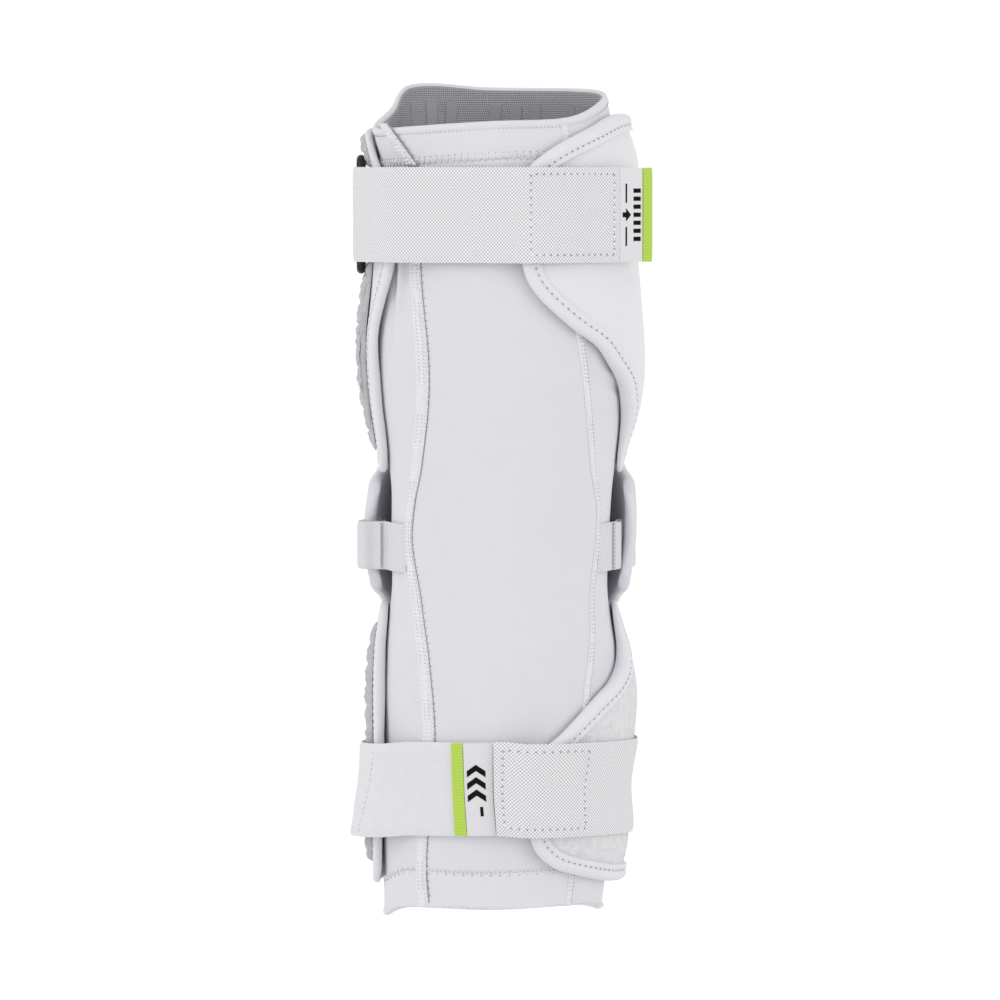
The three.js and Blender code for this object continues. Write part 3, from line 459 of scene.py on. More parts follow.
def zigzag(pitch, height, base, middle):
    """Points of a zigzag round the arm, at height middle from base."""
    count = 2 * round(GIRTH / pitch)
    x = np.linspace(-GIRTH / 2, GIRTH / 2, count + 1)
    z = base(far_angle(x)) + middle + height / 2 * (-1) ** np.arange(count + 1)
    return np.stack([x, z], 1)


ZIGZAG_LIFT = 0.3
# Name, pitch, height, edge that it follows, place of its middle, first of the points with a hole.
for name, pitch, height, edge, middle, side in (
    ("top_cuff_zigzag", 2.75, 3.4, rim_height, -CUFF_HEIGHT + 0.9, 0),
    ("hem_zigzag", 3.9, 2.5, hem_height, CUFF_HEIGHT + 0.4, 1),
):
    points = zigzag(pitch, height, edge, middle)
    lines = np.stack([points[:-1], points[1:]], 1)
    stitches(name, lines, on_arm, 0.21, "seam_thread", ZIGZAG_LIFT)
    holes = dots(points[side::2], 0.24)
    plates(name + "_holes", holes, on_arm, 0.2, ZIGZAG_LIFT + 0.12, needle_hole, "seam_thread")
RIM_STITCH_PITCH = 1.7
RIM_STITCH_DROP = 3.1
rim_x = np.arange(-GIRTH / 2, GIRTH / 2, RIM_STITCH_PITCH)
rim_holes = np.stack([rim_x, rim_height(far_angle(rim_x)) - RIM_STITCH_DROP], 1)
plates("rim_stitch_holes", dots(rim_holes, 0.2), on_arm, 0.2, 0.62, needle_hole, "seam_thread")
OVERLOCK_PITCH = 1.3
hem_x = np.arange(-GIRTH / 2, GIRTH / 2 - 1, OVERLOCK_PITCH)
hem_edge = hem_height(far_angle(hem_x))
overlock = spans(hem_x, hem_edge + 0.3, hem_x + 0.7, hem_edge + 1.7)
stitches("hem_overlock", overlock, on_arm, 0.22, "seam_thread", 0.95)


# Grip lining: open mesh knit inside the shoulder end, with rubbery bars printed on it.
# Its top edge is caught under the turned cuff by a row of straight stitches.
LINING_HEIGHT = 38
LINING_DROP = 1.3
LINING_WALL = 0.7
LINING_OUT = -2.6
LINING_ROWS = 40
lining_mesh = cloth("open_mesh_knit", "#a9a9ae", 0.9, 0.1)
# Diagonal mesh: light yarns over openings painted dark as shade.
relief(lining_mesh, lattice(lining_mesh, 1.3, 1.3, pi / 4), "#7b7b81", "#c9c9ce", 0.25)
lining_down = np.linspace(0, LINING_HEIGHT, LINING_ROWS)
lining_down = np.concatenate([lining_down, lining_down[::-1]])
lining_z = rim_height(TUBE_ANGLES)[:, None] - LINING_DROP - lining_down
lining_out = np.repeat([LINING_OUT, LINING_OUT + LINING_WALL], LINING_ROWS)
lining_out = np.broadcast_to(lining_out, lining_z.shape)
lining = tube("lining_mesh_tube", lining_z, lining_out, lining_mesh, "lining_mesh", ["grip_lining"])

grip_rubber = material("grip_rubber", "#77777c", 0.55, IOR=1.5)
# Printed silicone: smooth bars that let the mesh show a little.
relief(grip_rubber, grain(grip_rubber, 0.8), "#98989a", "#a6a6a8", 0.05)


def below_rim(x, down, out):
    """Place on the inside of the lining, measured down from the rim."""
    return on_arm(x, rim_height(far_angle(x)) - down, LINING_OUT - out)


BAR_WIDTH = 5
BAR_PITCH = 9
BAR_SLANT = 4
BAR_TOP = 7
BAR_BOTTOM = 20
bars = []
for group in girth(wrapped(180 - np.arange(10, 370, 45))):
    for x in group + np.array([-BAR_PITCH, 0, BAR_PITCH]):
        left, right = x - BAR_WIDTH / 2, x + BAR_WIDTH / 2
        foot = [(left, BAR_BOTTOM), (right, BAR_BOTTOM)]
        bars.append([*foot, (right - BAR_SLANT, BAR_TOP), (left - BAR_SLANT, BAR_TOP)])
plates("grip_bars", bars, below_rim, -0.1, 0.3, grip_rubber, "lining_mesh")
LINING_STITCH = 1.7
LINING_ROW_DROP = 5.4
dashes = np.arange(-GIRTH / 2, GIRTH / 2 - 2, 2.6)
lining_row = spans(dashes, LINING_ROW_DROP, dashes + LINING_STITCH, LINING_ROW_DROP)
stitches("lining_stitches", lining_row, below_rim, 0.24, "seam_thread", -0.65)


# Seams: flatlock ladders of thread down both sides of the near panel, and one thick bar
# from the rim to the upper strap. The thread lies on a narrow raised strip of jersey.
LEFT_SEAM = [
    (-1, -39), (-0.85, -41.5), (-0.55, -37.5), (-0.31, -41.5), (-0.175, -49), (-0.013, -57),
    (0.085, -55), (0.18, -47.5), (0.325, -40), (0.47, -38.5), (0.645, -45), (0.9, -48.5),
]
RIGHT_SEAM = [
    (-1, 42), (-0.85, 43), (-0.417, 46.5), (-0.229, 53.5), (0.035, 63), (0.18, 51.5), (0.5, 39),
    (0.9, 36),
]
seam_cloth = cloth("seam_cloth", "#e4e4e9", 0.75, 0.1)
# Jersey pressed flat under the thread.
relief(seam_cloth, grain(seam_cloth, 0.8), "#e0e0e5", "#ececf0", 0.05)

# Shares of the width across, with the heights there: the raised strip, and a thin strip beside it in the
# hole-shadow colour, a painted shadow line along the strip's right edge.
STRIP_SECTION = [-0.5, -0.44, -0.2, 0.2, 0.44, 0.5, 0.3, -0.3], [0, 0.55, 0.75, 0.75, 0.6, 0, -0.3, -0.3]
SHADOW_LINE_SECTION = [0.5, 0.545, 0.545, 0.5], [0.1, 0.1, -0.2, -0.2]


def seam(name, table, width, low, high, pitch, knots, base=0.0):
    """Raised strip with rungs of thread across it and a knotted cord along its right edge."""
    z = np.arange(low, high, 1.2)
    line = girth(read(table, np.where(z > 0, z / ABOVE_ELBOW, z / BELOW_ELBOW)))

    def place(x, y, out):
        """Place on the sleeve's cloth, and on the cuffs past its ends."""
        on_cuff = 0.45 * (np.clip((-132 - y) / 3, 0, 1) + np.clip((y - 150) / 3, 0, 1))
        return on_arm(x, y, out + base + on_cuff + drape(far_angle(x), y))

    # The second part is a painted shadow line: a thin strip in the hole-shadow colour.
    for part, (across, outs), paint, nodes in (
        ("_strip", STRIP_SECTION, seam_cloth, [name]),
        ("_shadow_line", SHADOW_LINE_SECTION, needle_hole, ()),
    ):
        x = line[:, None] + np.array(across) * width
        rows = np.broadcast_to(z[:, None], x.shape)
        points = place(x, rows, np.broadcast_to(outs, x.shape))
        sweep(name + part, points, np.stack([x, rows], -1), paint, "seam_thread", nodes)
    rungs = np.arange(low + 0.6, high - 0.6, pitch)
    middle = np.interp(rungs, z, line)
    cord = np.stack([middle + 0.43 * width, rungs - pitch * 0.5], 1)
    ladder = spans(middle - 0.42 * width, rungs, middle + 0.4 * width, rungs + pitch * 0.3)
    lines = np.concatenate([ladder, np.stack([cord[:-1], cord[1:]], 1)])
    stitches(name + "_ladder", lines, place, 0.25, "seam_thread", 0.78)
    # Dark dots in the hole-shadow colour between the rungs: painted shade in the gaps, left out at uneven
    # places.
    shaded_gap_mask = waves(rungs, rungs * 0.3, 21) > -0.15
    gaps = [np.stack([middle + share * width, rungs + pitch * 0.62], 1)[shaded_gap_mask] for share in (-0.16, 0.2)]
    plates(name + "_gap_shadows", dots(np.concatenate(gaps), 0.2), place, 0.3, 0.84, needle_hole, "seam_thread")
    if knots:
        ties = spans(middle + 0.36 * width, rungs + 0.2, middle + 0.54 * width, rungs)[::2]
        stitches(name + "_knots", ties, place, 0.42, "seam_thread", 0.7)
        holes = dots(ties[:, 1] + [0.25, pitch * 0.9], 0.3)
        plates(name + "_holes", holes, place, -0.1, 0.12, needle_hole, "seam_thread")


UPPER_LINE = 129.8
FOREARM_LINE = -100
STRAP_WIDTH = 38
seam("left_seam", LEFT_SEAM, 6.3, -148.2, 148, 1.5, True)
seam("right_seam", RIGHT_SEAM, 3.6, -147.8, 166.5, 1.6, False)
RIM_SEAM = [(0.894, -47), (1, -64)]
seam("rim_seam", RIM_SEAM, 6.6, UPPER_LINE + STRAP_WIDTH / 2 + 0.6, 166.8, 1.3, True, 1.1)


# Guards: two padded shells on the outer side, one above and one below the elbow, each with a wing
# that reaches round to the near side. Both are foam laid between cloth and edged with rolled binding.
UPPER_EDGE = [
    (92, -0.965), (98, -0.945), (102, -0.9), (104, -0.83), (107, -0.75), (111, -0.69), (115.6, -0.631),
    (124.5, -0.564), (133.4, -0.489), (146.6, -0.422), (162.2, -0.309), (167.7, -0.245),
    (170.5, -0.165), (171.5, 0), (170.5, 0.33), (166.7, 0.49), (160, 0.6), (152.7, 0.69),
    (142.3, 0.785), (130, 0.875), (113, 0.978), (90, 1.015), (45, 0.955), (0, 0.93), (-45, 0.905),
    (-75, 0.88), (-90, 0.84), (-97, 0.72), (-102, 0.58), (-110, 0.42), (-120, 0.22), (-126, 0.03),
    (-123, -0.193), (-117, -0.322), (-112.5, -0.433), (-110, -0.69), (-108.5, -0.82), (-105, -0.9),
    (-99, -0.95), (-93, -0.965),
]
FOREARM_EDGE = [
    (92, 0.985), (98, 0.95), (102, 0.87), (106, 0.7), (118, 0.585), (130.4, 0.503), (140, 0.419),
    (151, 0.311), (159.4, 0.23), (164, 0.108), (165.5, -0.045), (165, -0.318), (163.2, -0.498),
    (159, -0.609), (151, -0.718), (140, -0.784), (127, -0.841), (112, -0.886), (90, -0.909),
    (45, -0.886), (0, -0.864), (-45, -0.886), (-78, -0.93), (-92, -0.94), (-101, -0.84), (-104, -0.6),
    (-106, -0.2), (-108, 0.135), (-107, 0.446), (-106, 0.7), (-102.5, 0.87), (-98, 0.95), (-92, 0.985),
]
UPPER_PADDING = [
    (-127, 0.95), (-112, 0.8), (-95, 0.6), (-45, 0.875), (0, 1), (60, 1.25), (95, 1.55), (125, 1.2),
    (171, 0.95),
]
FOREARM_PADDING = [(-110, 0.95), (-92, 0.625), (0, 1), (60, 1.15), (95, 1.5), (130, 1.15), (166, 0.95)]
CAP_OUTLINE = [
    (0, 1, 1), (0.35, 0.95, 0.9), (0.6, 0.76, 0.65), (0.8, 0.54, 0.42), (0.93, 0.47, 0.38),
    (0.97, 0.43, 0.38), (1, 0.32, 0.38),
]
CAP_REACH = 88
CAP_HALF_HEIGHT = 50
GUARD_PAD = 4
# Height from the elbow, share of the padding left in the guards' tips there.
TIP_PADDING = [(24, 0.1), (32, 0.25), (38, 0.42), (46, 0.7), (55, 0.9), (64, 1)]
SKIN_GAP = 1.6
BINDING_WIDTH = 7
BINDING_PROUD = 0.6
BINDING_PITCH = 2.85
EDGE_STEP = 1.3
CAP_CLEARANCE = 3
ARCH_ANGLES = np.array([-80, -70, -60, -45, -30, -15, 0, 15, 30, 45, 60, 70, 80])


def curve(points, closed, step):
    """Smooth curve through points, cut at even steps."""
    p = np.asarray(points, float)
    if closed:
        ring = np.vstack([p[-1:], p, p[:2]])
    else:
        ring = np.vstack([2 * p[:1] - p[1:2], p, 2 * p[-1:] - p[-2:-1]])
    gaps = np.linalg.norm(np.diff(ring, axis=0), axis=1)[:, None] ** 0.5
    a, b, c, d = ring[:-3], ring[1:-2], ring[2:-1], ring[3:]
    u, v, w = gaps[:-2], gaps[1:-1], gaps[2:]
    leave = v * ((b - a) / u - (c - a) / (u + v) + (c - b) / v)
    reach = v * ((c - b) / v - (d - b) / (v + w) + (d - c) / w)
    t = np.linspace(0, 1, 24, endpoint=False)[:, None, None]
    fine = b + leave * t + (3 * (c - b) - 2 * leave - reach) * t**2
    fine = fine + (2 * (b - c) + leave + reach) * t**3
    fine = np.vstack([fine.transpose(1, 0, 2).reshape(-1, p.shape[1]), p[:1] if closed else p[-1:]])
    run = np.concatenate([[0], np.cumsum(np.linalg.norm(np.diff(fine, axis=0), axis=1))])
    even = np.linspace(0, run[-1], max(3, round(run[-1] / step)) + 1)
    made = np.stack([np.interp(even, run, column) for column in fine.T], 1)
    return made[:-1] if closed else made


def inset(loop, distance):
    """Moves a closed loop inwards bit by bit, so that it stays smooth at tight corners."""
    count = max(1, round(distance / 0.7))
    for _ in range(count):
        along = np.roll(loop, -1, 0) - np.roll(loop, 1, 0)
        inward = np.stack([-along[:, 1], along[:, 0]], 1)
        loop = loop + inward / np.linalg.norm(along, axis=1)[:, None] * distance / count
        loop = 0.6 * loop + 0.2 * (np.roll(loop, 1, 0) + np.roll(loop, -1, 0))
    return loop


def interval(loop, places):
    """Lowest and highest crossing of a closed loop at each place along the girth."""
    after = np.roll(loop, -1, 0)
    found = []
    for x in places:
        hit = (loop[:, 0] <= x) != (after[:, 0] <= x)
        a, b = loop[hit], after[hit]
        y = a[:, 1] + (b[:, 1] - a[:, 1]) * (x - a[:, 0]) / (b[:, 0] - a[:, 0])
        found.append((y.min(), y.max()))
    return np.array(found).T


def on_shell(x, z, out):
    """Place on a guard: x along the girth from the far side, plus to the right."""
    return arm(np.degrees(np.asarray(x) / GIRTH_RADIUS), z, out)


def cap_value(angle, column):
    return read(CAP_OUTLINE, np.abs(angle) / CAP_REACH, column)


guard_cloth = cloth("brushed_stretch_cloth", "#e0e0e5", 0.85, 0.2, 0.45)
# Smooth, faintly brushed face over the foam.
brushed = uneven(guard_cloth, grain(guard_cloth, 0.7), 12, 0.5)
relief(guard_cloth, brushed, "#e0e0e5", "#ebebef", 0.06)
loop_cloth = cloth("loop_velour", "#dedee3", 0.95, 0.5, 0.35)
# Brushed loops that a hook tape grips: a matted grain, drawn coarser than the real loops; its colour runs
# from grey to white, painted highlight and shade on the pile.
pile_shade_and_grain = uneven(loop_cloth, grain(loop_cloth, 0.7), 3.2, 0.55, detail=5)
relief(loop_cloth, pile_shade_and_grain, "#bcbcc3", "#ffffff", 0.8)
binding_cloth = cloth("folded_binding", "#e5e5ea", 0.7, 0.15, 0.4)
# Stretch tape rolled over the edge: a fine even weave.
taped = uneven(binding_cloth, lattice(binding_cloth, 0.9, 0.9), 5, 0.5)
relief(binding_cloth, taped, "#dfdfe5", "#e9e9ee", 0.05)

# Section of the binding: share of its width inwards, share of its height.
BINDING_ROLL = [
    (0.9, 0.05), (0.2, 0.02), (0.03, 0.2), (0, 0.5), (0.05, 0.8), (0.16, 0.96), (0.32, 1.02),
    (0.5, 1), (0.6, 0.93), (0.68, 0.95), (0.8, 1), (0.93, 0.97), (0.99, 0.88), (0.97, 0.6),
]


def patch(places, low, high, rows):
    """Grid of points between two edges, with the room from each point to the nearest edge."""
    x = np.broadcast_to(places[:, None], (len(places), rows))
    z = low[:, None] + (high - low)[:, None] * np.linspace(0, 1, rows)
    beside = np.minimum(x - x.min(), x.max() - x)
    return x, z, np.minimum(np.minimum(z - low[:, None], high[:, None] - z), beside)


def layer(name, x, z, face, base, paint, slot, node_name):
    """Padded layer on the shell from base out to face."""
    points = np.concatenate([on_shell(x, z, face), on_shell(x, z, base)[:, ::-1]], 1)
    uv = np.stack([x, z], -1)
    return sweep(name, points, np.concatenate([uv, uv[:, ::-1]], 1), paint, slot, [node_name])


def guard(name, edge, padding, line, rise, drop, paint, slot):
    """Padded shell and its binding; returns the loop inside the binding, the thickness and the rim."""
    side = 1 if line > 0 else -1
    free = [(girth(angle), line + height * (rise if height > 0 else drop)) for angle, height in edge]
    half = CAP_HALF_HEIGHT * cap_value(ARCH_ANGLES, 1) + CAP_CLEARANCE
    arch = list(zip(girth(ARCH_ANGLES), side * half))
    loop = curve(free + arch, True, EDGE_STEP)
    x, y = loop.T
    if (x * np.roll(y, -1) - y * np.roll(x, -1)).sum() < 0:
        loop = loop[::-1]

    def thickness(x, z):
        """Padding by angle, pressed thin towards the tips at both sides of the elbow."""
        turn = np.degrees(x / GIRTH_RADIUS)
        at_side = np.clip((turn - 55) / 25, 0, 1) + 0.25 * np.clip((-70 - turn) / 15, 0, 1)
        return GUARD_PAD * read(padding, turn) * (1 - at_side * (1 - read(TIP_PADDING, np.abs(z))))

    under = inset(loop, 4)
    places = np.linspace(under[:, 0].min() + 0.6, under[:, 0].max() - 0.6, 150)
    x, z, room = patch(places, *interval(under, places), 46)
    puff = 0.62 + 0.42 * (1 - np.exp(-room / 5))
    face = SKIN_GAP + thickness(x, z) * puff + 0.35 * waves(x, z, 46)
    shell = layer(name + "_shell", x, z, face, SKIN_GAP, paint, slot, name + "_guard")

    run = np.arange(len(loop)) * EDGE_STEP
    sections, marks = [], []
    for across, up in BINDING_ROLL:
        moved = inset(loop, across * BINDING_WIDTH) if across else loop
        ripple = 0.12 * np.sin(run * 2 * pi / BINDING_PITCH) * (up > 0.5)
        # Near the elbow the edge lies closer to the sleeve.
        closer = np.clip((80 - np.abs(moved[:, 1])) / 15, 0, 1) * max(0, 1 - 2.5 * up)
        gap = SKIN_GAP * (1 - 0.5 * closer)
        sections.append(on_shell(*moved.T, gap + up * (thickness(*moved.T) + BINDING_PROUD) + ripple))
        marks.append(np.stack([run, np.full(len(run), across * BINDING_WIDTH)], -1))
    points, uv = np.stack(sections, 1), np.stack(marks, 1)
    edge_name, nodes = name + "_rolled_edge", [name + "_binding"]
    around = len(loop) * EDGE_STEP
    binding = sweep(edge_name, points, uv, binding_cloth, "binding_cloth", nodes, closed=around)

    def place(x, z, out):
        return on_shell(x, z, SKIN_GAP + 0.95 * (thickness(x, z) + BINDING_PROUD) + out)

    row = curve(inset(loop, 0.62 * BINDING_WIDTH), True, BINDING_PITCH)
    after = np.roll(row, -1, 0)
    lines = np.stack([row, row + 0.62 * (after - row)], 1)
    stitches(name + "_edge_stitches", lines, place, 0.27, "binding_cloth", 0.05)
    holes = dots(row + 0.81 * (after - row), 0.4)
    plates(name + "_edge_holes", holes, place, -0.3, 0.14, needle_hole, "binding_cloth")
    return inset(loop, BINDING_WIDTH + 0.6), thickness, inset(loop, 0.7)


upper_edge, upper_thickness, upper_rim = guard(
    "upper", UPPER_EDGE, UPPER_PADDING, UPPER_LINE, 40, 108, guard_cloth, "guard_cloth"
)
forearm_edge, forearm_thickness, _ = guard(
    "forearm", FOREARM_EDGE, FOREARM_PADDING, FOREARM_LINE, 74, 44, loop_cloth, "loop_cloth"
)


# Foam panels: grey mesh cloth quilted in square cells over soft foam, sewn on top of the guards.
# They show on the far side and as a wrinkled edge past the left bindings.
FOAM_PITCH = 8.5
FOAM_PAD = 6.5
FOAM_STEP = 1.15
SIDE_START = -72
PUFF_FRAMES = 20
PUFF_REACH = 0.6
FOAM_PADDING = [(-104, 0.431), (-85, 0.477), (0, 1), (75, 0.462)]
foam_cloth = cloth("quilted_mesh_cloth", "#c2c2c6", 0.9, 0.2)
# Fine mesh face with soft creases, painted darker in the hollows of the mesh and creases as shade.
mesh_face = lattice(foam_cloth, 1.2, 1.2, pi / 4)
creased = uneven(foam_cloth, mesh_face, 3.5, 0.55, stretch=(1, 2.2, 1))
relief(foam_cloth, creased, "#b2b2b7", "#cfcfd3", 0.3)


def settle(made, held, reach):
    """Puffs the cloth with air while the held points stay put; no point moves further than reach mm."""
    rest = np.array([point.co for point in made.data.vertices])
    group = made.vertex_groups.new(name="held")
    for index, weight in enumerate(held):
        group.add([index], float(weight), "REPLACE")
    air = made.modifiers.new("air", "CLOTH")
    stiffness = dict(tension_stiffness=20, compression_stiffness=4, bending_stiffness=0.3, quality=4)
    pressure = dict(use_pressure=True, uniform_pressure_force=4, shrink_min=-0.06, mass=0.15)
    for key, value in dict(stiffness, **pressure, vertex_group_mass="held").items():
        setattr(air.settings, key, value)
    air.settings.effector_weights.gravity = 0
    air.collision_settings.use_collision = False
    air.point_cache.frame_start = 1
    air.point_cache.frame_end = PUFF_FRAMES
    scene = bpy.context.scene
    for step in range(1, PUFF_FRAMES + 1):
        scene.frame_set(step)
    puffed = made.evaluated_get(bpy.context.evaluated_depsgraph_get())
    moved = np.array([point.co for point in puffed.data.vertices])
    made.modifiers.remove(air)
    scene.frame_set(1)
    travel = moved - rest
    far = np.linalg.norm(travel, axis=1)[:, None]
    kept = rest + travel * np.minimum(1, reach / 1000 / np.maximum(far, 1e-9))
    made.data.vertices.foreach_set("co", kept.ravel())
    made.data.update()


def foam(name, edge, thickness, start, end, floor=-999.0, ceiling=999.0):
    """Quilted panel between two angles and two heights, inside the given edge."""
    places = np.arange(girth(start), girth(end), FOAM_STEP)
    low, high = interval(edge, places)
    low, high = np.maximum(low + 1, floor), np.minimum(high - 1, ceiling)
    x, z, room = patch(places, low, high, max(12, round((high - low).max() / FOAM_STEP)))
    cell = np.abs(np.sin(pi * (x - places[0]) / FOAM_PITCH) * np.sin(pi * (z - high.max()) / FOAM_PITCH))
    base = SKIN_GAP + thickness(x, z) + 0.6
    pad = FOAM_PAD * read(FOAM_PADDING, np.degrees(x / GIRTH_RADIUS))
    pad = pad * (1 - 0.8 * (x < girth(SIDE_START)) * (1 - read(TIP_PADDING, np.abs(z))))
    rise = (pad - 1 + 0.8 * np.minimum(1, cell * 2) ** 0.6) * (0.15 + 0.85 * (1 - np.exp(-room / 1.3)))
    crease = 0.22 * np.sin(2 * pi * z / 3.7 + 2 * waves(x, z, 14)) + 0.3 * waves(x, z, 6)
    # The side panels stay thin where the ring lies over them.
    past_ring = np.clip(np.abs(z - UPPER_LINE) - RING_HEIGHT / 2 - 0.5, 0, 3)
    ring_room = 1.7 + past_ring + 9 * (x > girth(SIDE_START))
    face = base + np.clip(rise, 0.3, ring_room) + crease * (room > 1)
    panel = layer(name + "_panel", x, z, face, base, foam_cloth, "foam_cloth", name)
    grooves = np.clip(1.25 - 3.2 * cell, 0, 1) * (cell < 0.39)
    held = np.concatenate([np.maximum(grooves, room < 0.7), np.ones_like(cell)], 1)
    settle(panel, held.ravel(), PUFF_REACH)


RING_HEIGHT = 48
foam("upper_foam", upper_edge, upper_thickness, -69, 75)
foam("upper_side_foam", upper_edge, upper_thickness, -103, -73, ceiling=UPPER_LINE - STRAP_WIDTH / 2)
foam("upper_rim_foam", upper_rim, upper_thickness, -98, -73, floor=UPPER_LINE + STRAP_WIDTH / 2)
foam("forearm_foam", forearm_edge, forearm_thickness, -95, 60)


# Elbow cap: moulded plastic cup that floats over the elbow on two elastic straps, through a slot
# near each side edge. Its rim is rounded and thick.
CAP_STAND_OFF = 4
CAP_DOME = 7
CAP_WALL = 5
CAP_STRAP_WIDTH = 19.5
CAP_STRAP_HEIGHT = -4
SLOT_ANGLE = 76
SLOT_WIDTH = 5
SLOT_CORNER = 1.2
SLOT_REACH = 9
CAP_ROUNDING = 3.2
CAP_ROWS = 61
NOSE_ROWS = 9
cap_shell = material("satin_moulded_shell", "#dadae0", 0.36, IOR=1.5, Coat_Weight=0.1)
# Satin moulding with the faint unevenness of a mould.
moulded = uneven(cap_shell, grain(cap_shell, 0.5), 14, 0.6)
relief(cap_shell, moulded, "#d5d5dc", "#dfdfe5", 0.04)
cap_angles = CAP_REACH * np.sin(np.radians(np.linspace(-90, 90, 121)))
edge_share = np.clip((np.abs(cap_angles) - CAP_REACH + CAP_ROUNDING) / CAP_ROUNDING, 0, 1)
half_wall = CAP_WALL / 2 * np.sqrt(1 - 0.97 * edge_share**2)[:, None]
half_height = (CAP_HALF_HEIGHT * cap_value(cap_angles, 1))[:, None]
face_rows, flat = np.linspace(-1, 1, CAP_ROWS), np.ones(CAP_ROWS)
nose, tip = np.radians(np.linspace(75, -75, NOSE_ROWS)), np.ones(NOSE_ROWS)
share = np.concatenate([face_rows, tip, face_rows[::-1], -tip])
swell = np.concatenate([flat, np.sin(nose), -flat, -np.sin(nose)])
reach = np.concatenate([0 * flat, np.cos(nose), 0 * flat, -np.cos(nose)])
cap_z = (half_height - half_wall) * share + half_wall * reach
lift = CAP_DOME * cap_value(cap_angles, 2)[:, None] * (1 - (cap_z / half_height) ** 2)
cap_out = CAP_STAND_OFF + CAP_WALL / 2 + lift + half_wall * swell
cap_turn = np.broadcast_to(cap_angles[:, None], cap_z.shape)
cap_uv = np.stack([girth(cap_turn), cap_z], -1)
cap = sweep("elbow_cap_shell", arm(cap_turn, cap_z, cap_out), cap_uv, cap_shell, "cap_shell", ["elbow_cap"])
corner = np.radians(np.arange(0, 360, 15))
round_y = np.sign(np.cos(corner)) * (SLOT_WIDTH / 2 - SLOT_CORNER) + SLOT_CORNER * np.cos(corner)
round_z = np.sign(np.sin(corner)) * (CAP_STRAP_WIDTH / 2 - 0.4) + SLOT_CORNER * np.sin(corner)
cutters = []
for side in (-1, 1):
    middle = arm(side * SLOT_ANGLE, CAP_STRAP_HEIGHT, CAP_STAND_OFF + CAP_WALL)
    outward = np.array([sin(radians(side * SLOT_ANGLE)), cos(radians(side * SLOT_ANGLE)), 0])
    along = np.array([-outward[1], outward[0], 0])
    loop = middle + round_y[:, None] * along + round_z[:, None] * np.array([0, 0, 1])
    block = np.stack([loop - outward * SLOT_REACH, loop + outward * SLOT_REACH])
    ring = np.arange(2 * len(loop)).reshape(2, -1)
    faces = cells(np.hstack([ring, ring[:, :1]])).tolist() + [ring[0].tolist(), ring[1, ::-1].tolist()]
    cutters.append(mesh_object("slot_cutter", block, faces, cap_shell))
for cutter in cutters:
    cut = cap.modifiers.new("slot", "BOOLEAN")
    cut.object = cutter
    cut.solver = "EXACT"
soft_edge = cap.modifiers.new("soft_edge", "BEVEL")
soft_edge.width = 0.0006
soft_edge.segments = 3
soft_edge.limit_method = "ANGLE"
soft_edge.angle_limit = radians(55)
cut_mesh = bpy.data.meshes.new_from_object(cap.evaluated_get(bpy.context.evaluated_depsgraph_get()))
cap.modifiers.clear()
cap.data = cut_mesh
cap.data.set_sharp_from_angle(angle=radians(50))
for cutter in cutters:
    bpy.data.objects.remove(cutter)


# Ring: glossy black plastic loop on the left side that the upper strap turns round.
# A band of webbing sewn to the shell keeps it in place.
RING_BAR = 3.6
RING_DEPTH = 15
RING_CORNER = 3
KEEPER_WIDTH = 36
ELASTIC = 1.1
WRAP_GAP = 0.4
RING_CLEARANCE = 1.2
shell_under_ring = SKIN_GAP + GUARD_PAD * 0.6
ring_out = shell_under_ring + RING_CLEARANCE + ELASTIC + WRAP_GAP + RING_BAR / 2
ring_x = arm(-90, UPPER_LINE, ring_out)[0]
bar_offset = (RING_DEPTH - RING_BAR) / 2
ring_plastic = material("glossy_black_plastic", "#0c0c0e", 0.25, IOR=1.45)
# Polished moulding with the slightest orange peel.
relief(ring_plastic, grain(ring_plastic, 1.5), "#0a0a0c", "#101013", 0.02)
around = np.radians(np.arange(0, 360, 20))
bulge = RING_BAR / 2 * np.cos(around)
ring_sections = []
for side_y, side_z, start in ((1, 1, 0), (-1, 1, 90), (-1, -1, 180), (1, -1, 270)):
    for turn in np.radians(np.linspace(start, start + 90, 9)):
        y = side_y * (bar_offset - RING_CORNER) + RING_CORNER * cos(turn)
        z = side_z * ((RING_HEIGHT - RING_BAR) / 2 - RING_CORNER) + RING_CORNER * sin(turn)
        x = ring_x + RING_BAR / 2 * np.sin(around)
        ring_sections.append(np.stack([x, y + bulge * cos(turn), UPPER_LINE + z + bulge * sin(turn)], -1))
ring_run = np.linspace(0, 116, len(ring_sections))
ring_uv = np.stack(np.meshgrid(ring_run, np.arange(len(around)) * 0.6, indexing="ij"), -1)
sweep("strap_ring", np.stack(ring_sections), ring_uv, ring_plastic, "ring_plastic", ["ring"], closed=119)

elastic = cloth("woven_elastic", "#dcdce1", 0.85, 0.1)
# Woven elastic: staggered rows of ribs with small gaps between them, painted dark as shade.
weave = node(elastic, "Math", {0: lattice(elastic, 1.35, 1.45), 1: 0.5}, operation="POWER")
relief(elastic, weave.outputs[0], "#8b8b95", "#fdfdff", 0.25)


def wrap_round(y, side, extent=pi):
    """Half circle round an upright bar of the ring, from the side by the arm to the outside."""
    radius = RING_BAR / 2 + WRAP_GAP + ELASTIC / 2
    turns = np.linspace(0, extent, 7)
    return [(ring_x + radius * cos(t), y + side * radius * sin(t), UPPER_LINE) for t in turns]


def rounded(y, width, edge):
    """Share of the thickness left near the rounded edges of a flat strap."""
    return np.sqrt(1 - np.clip((np.abs(y) - width / 2 + edge) / edge, 0, 0.95) ** 2)


def flat_strap(name, place, run, outline, swell, paint, slot, nodes):
    """Strap with the same outline, places across and heights, all along its run."""
    across, out = outline
    x = np.broadcast_to(run[:, None], (len(run), len(across)))
    y = np.broadcast_to(across, x.shape)
    points = place(x, y, np.broadcast_to(out, x.shape) + swell(x, y))
    made = sweep(name, points, np.stack([x, y], -1), paint, slot, nodes)
    made.data.set_sharp_from_angle(angle=radians(60))


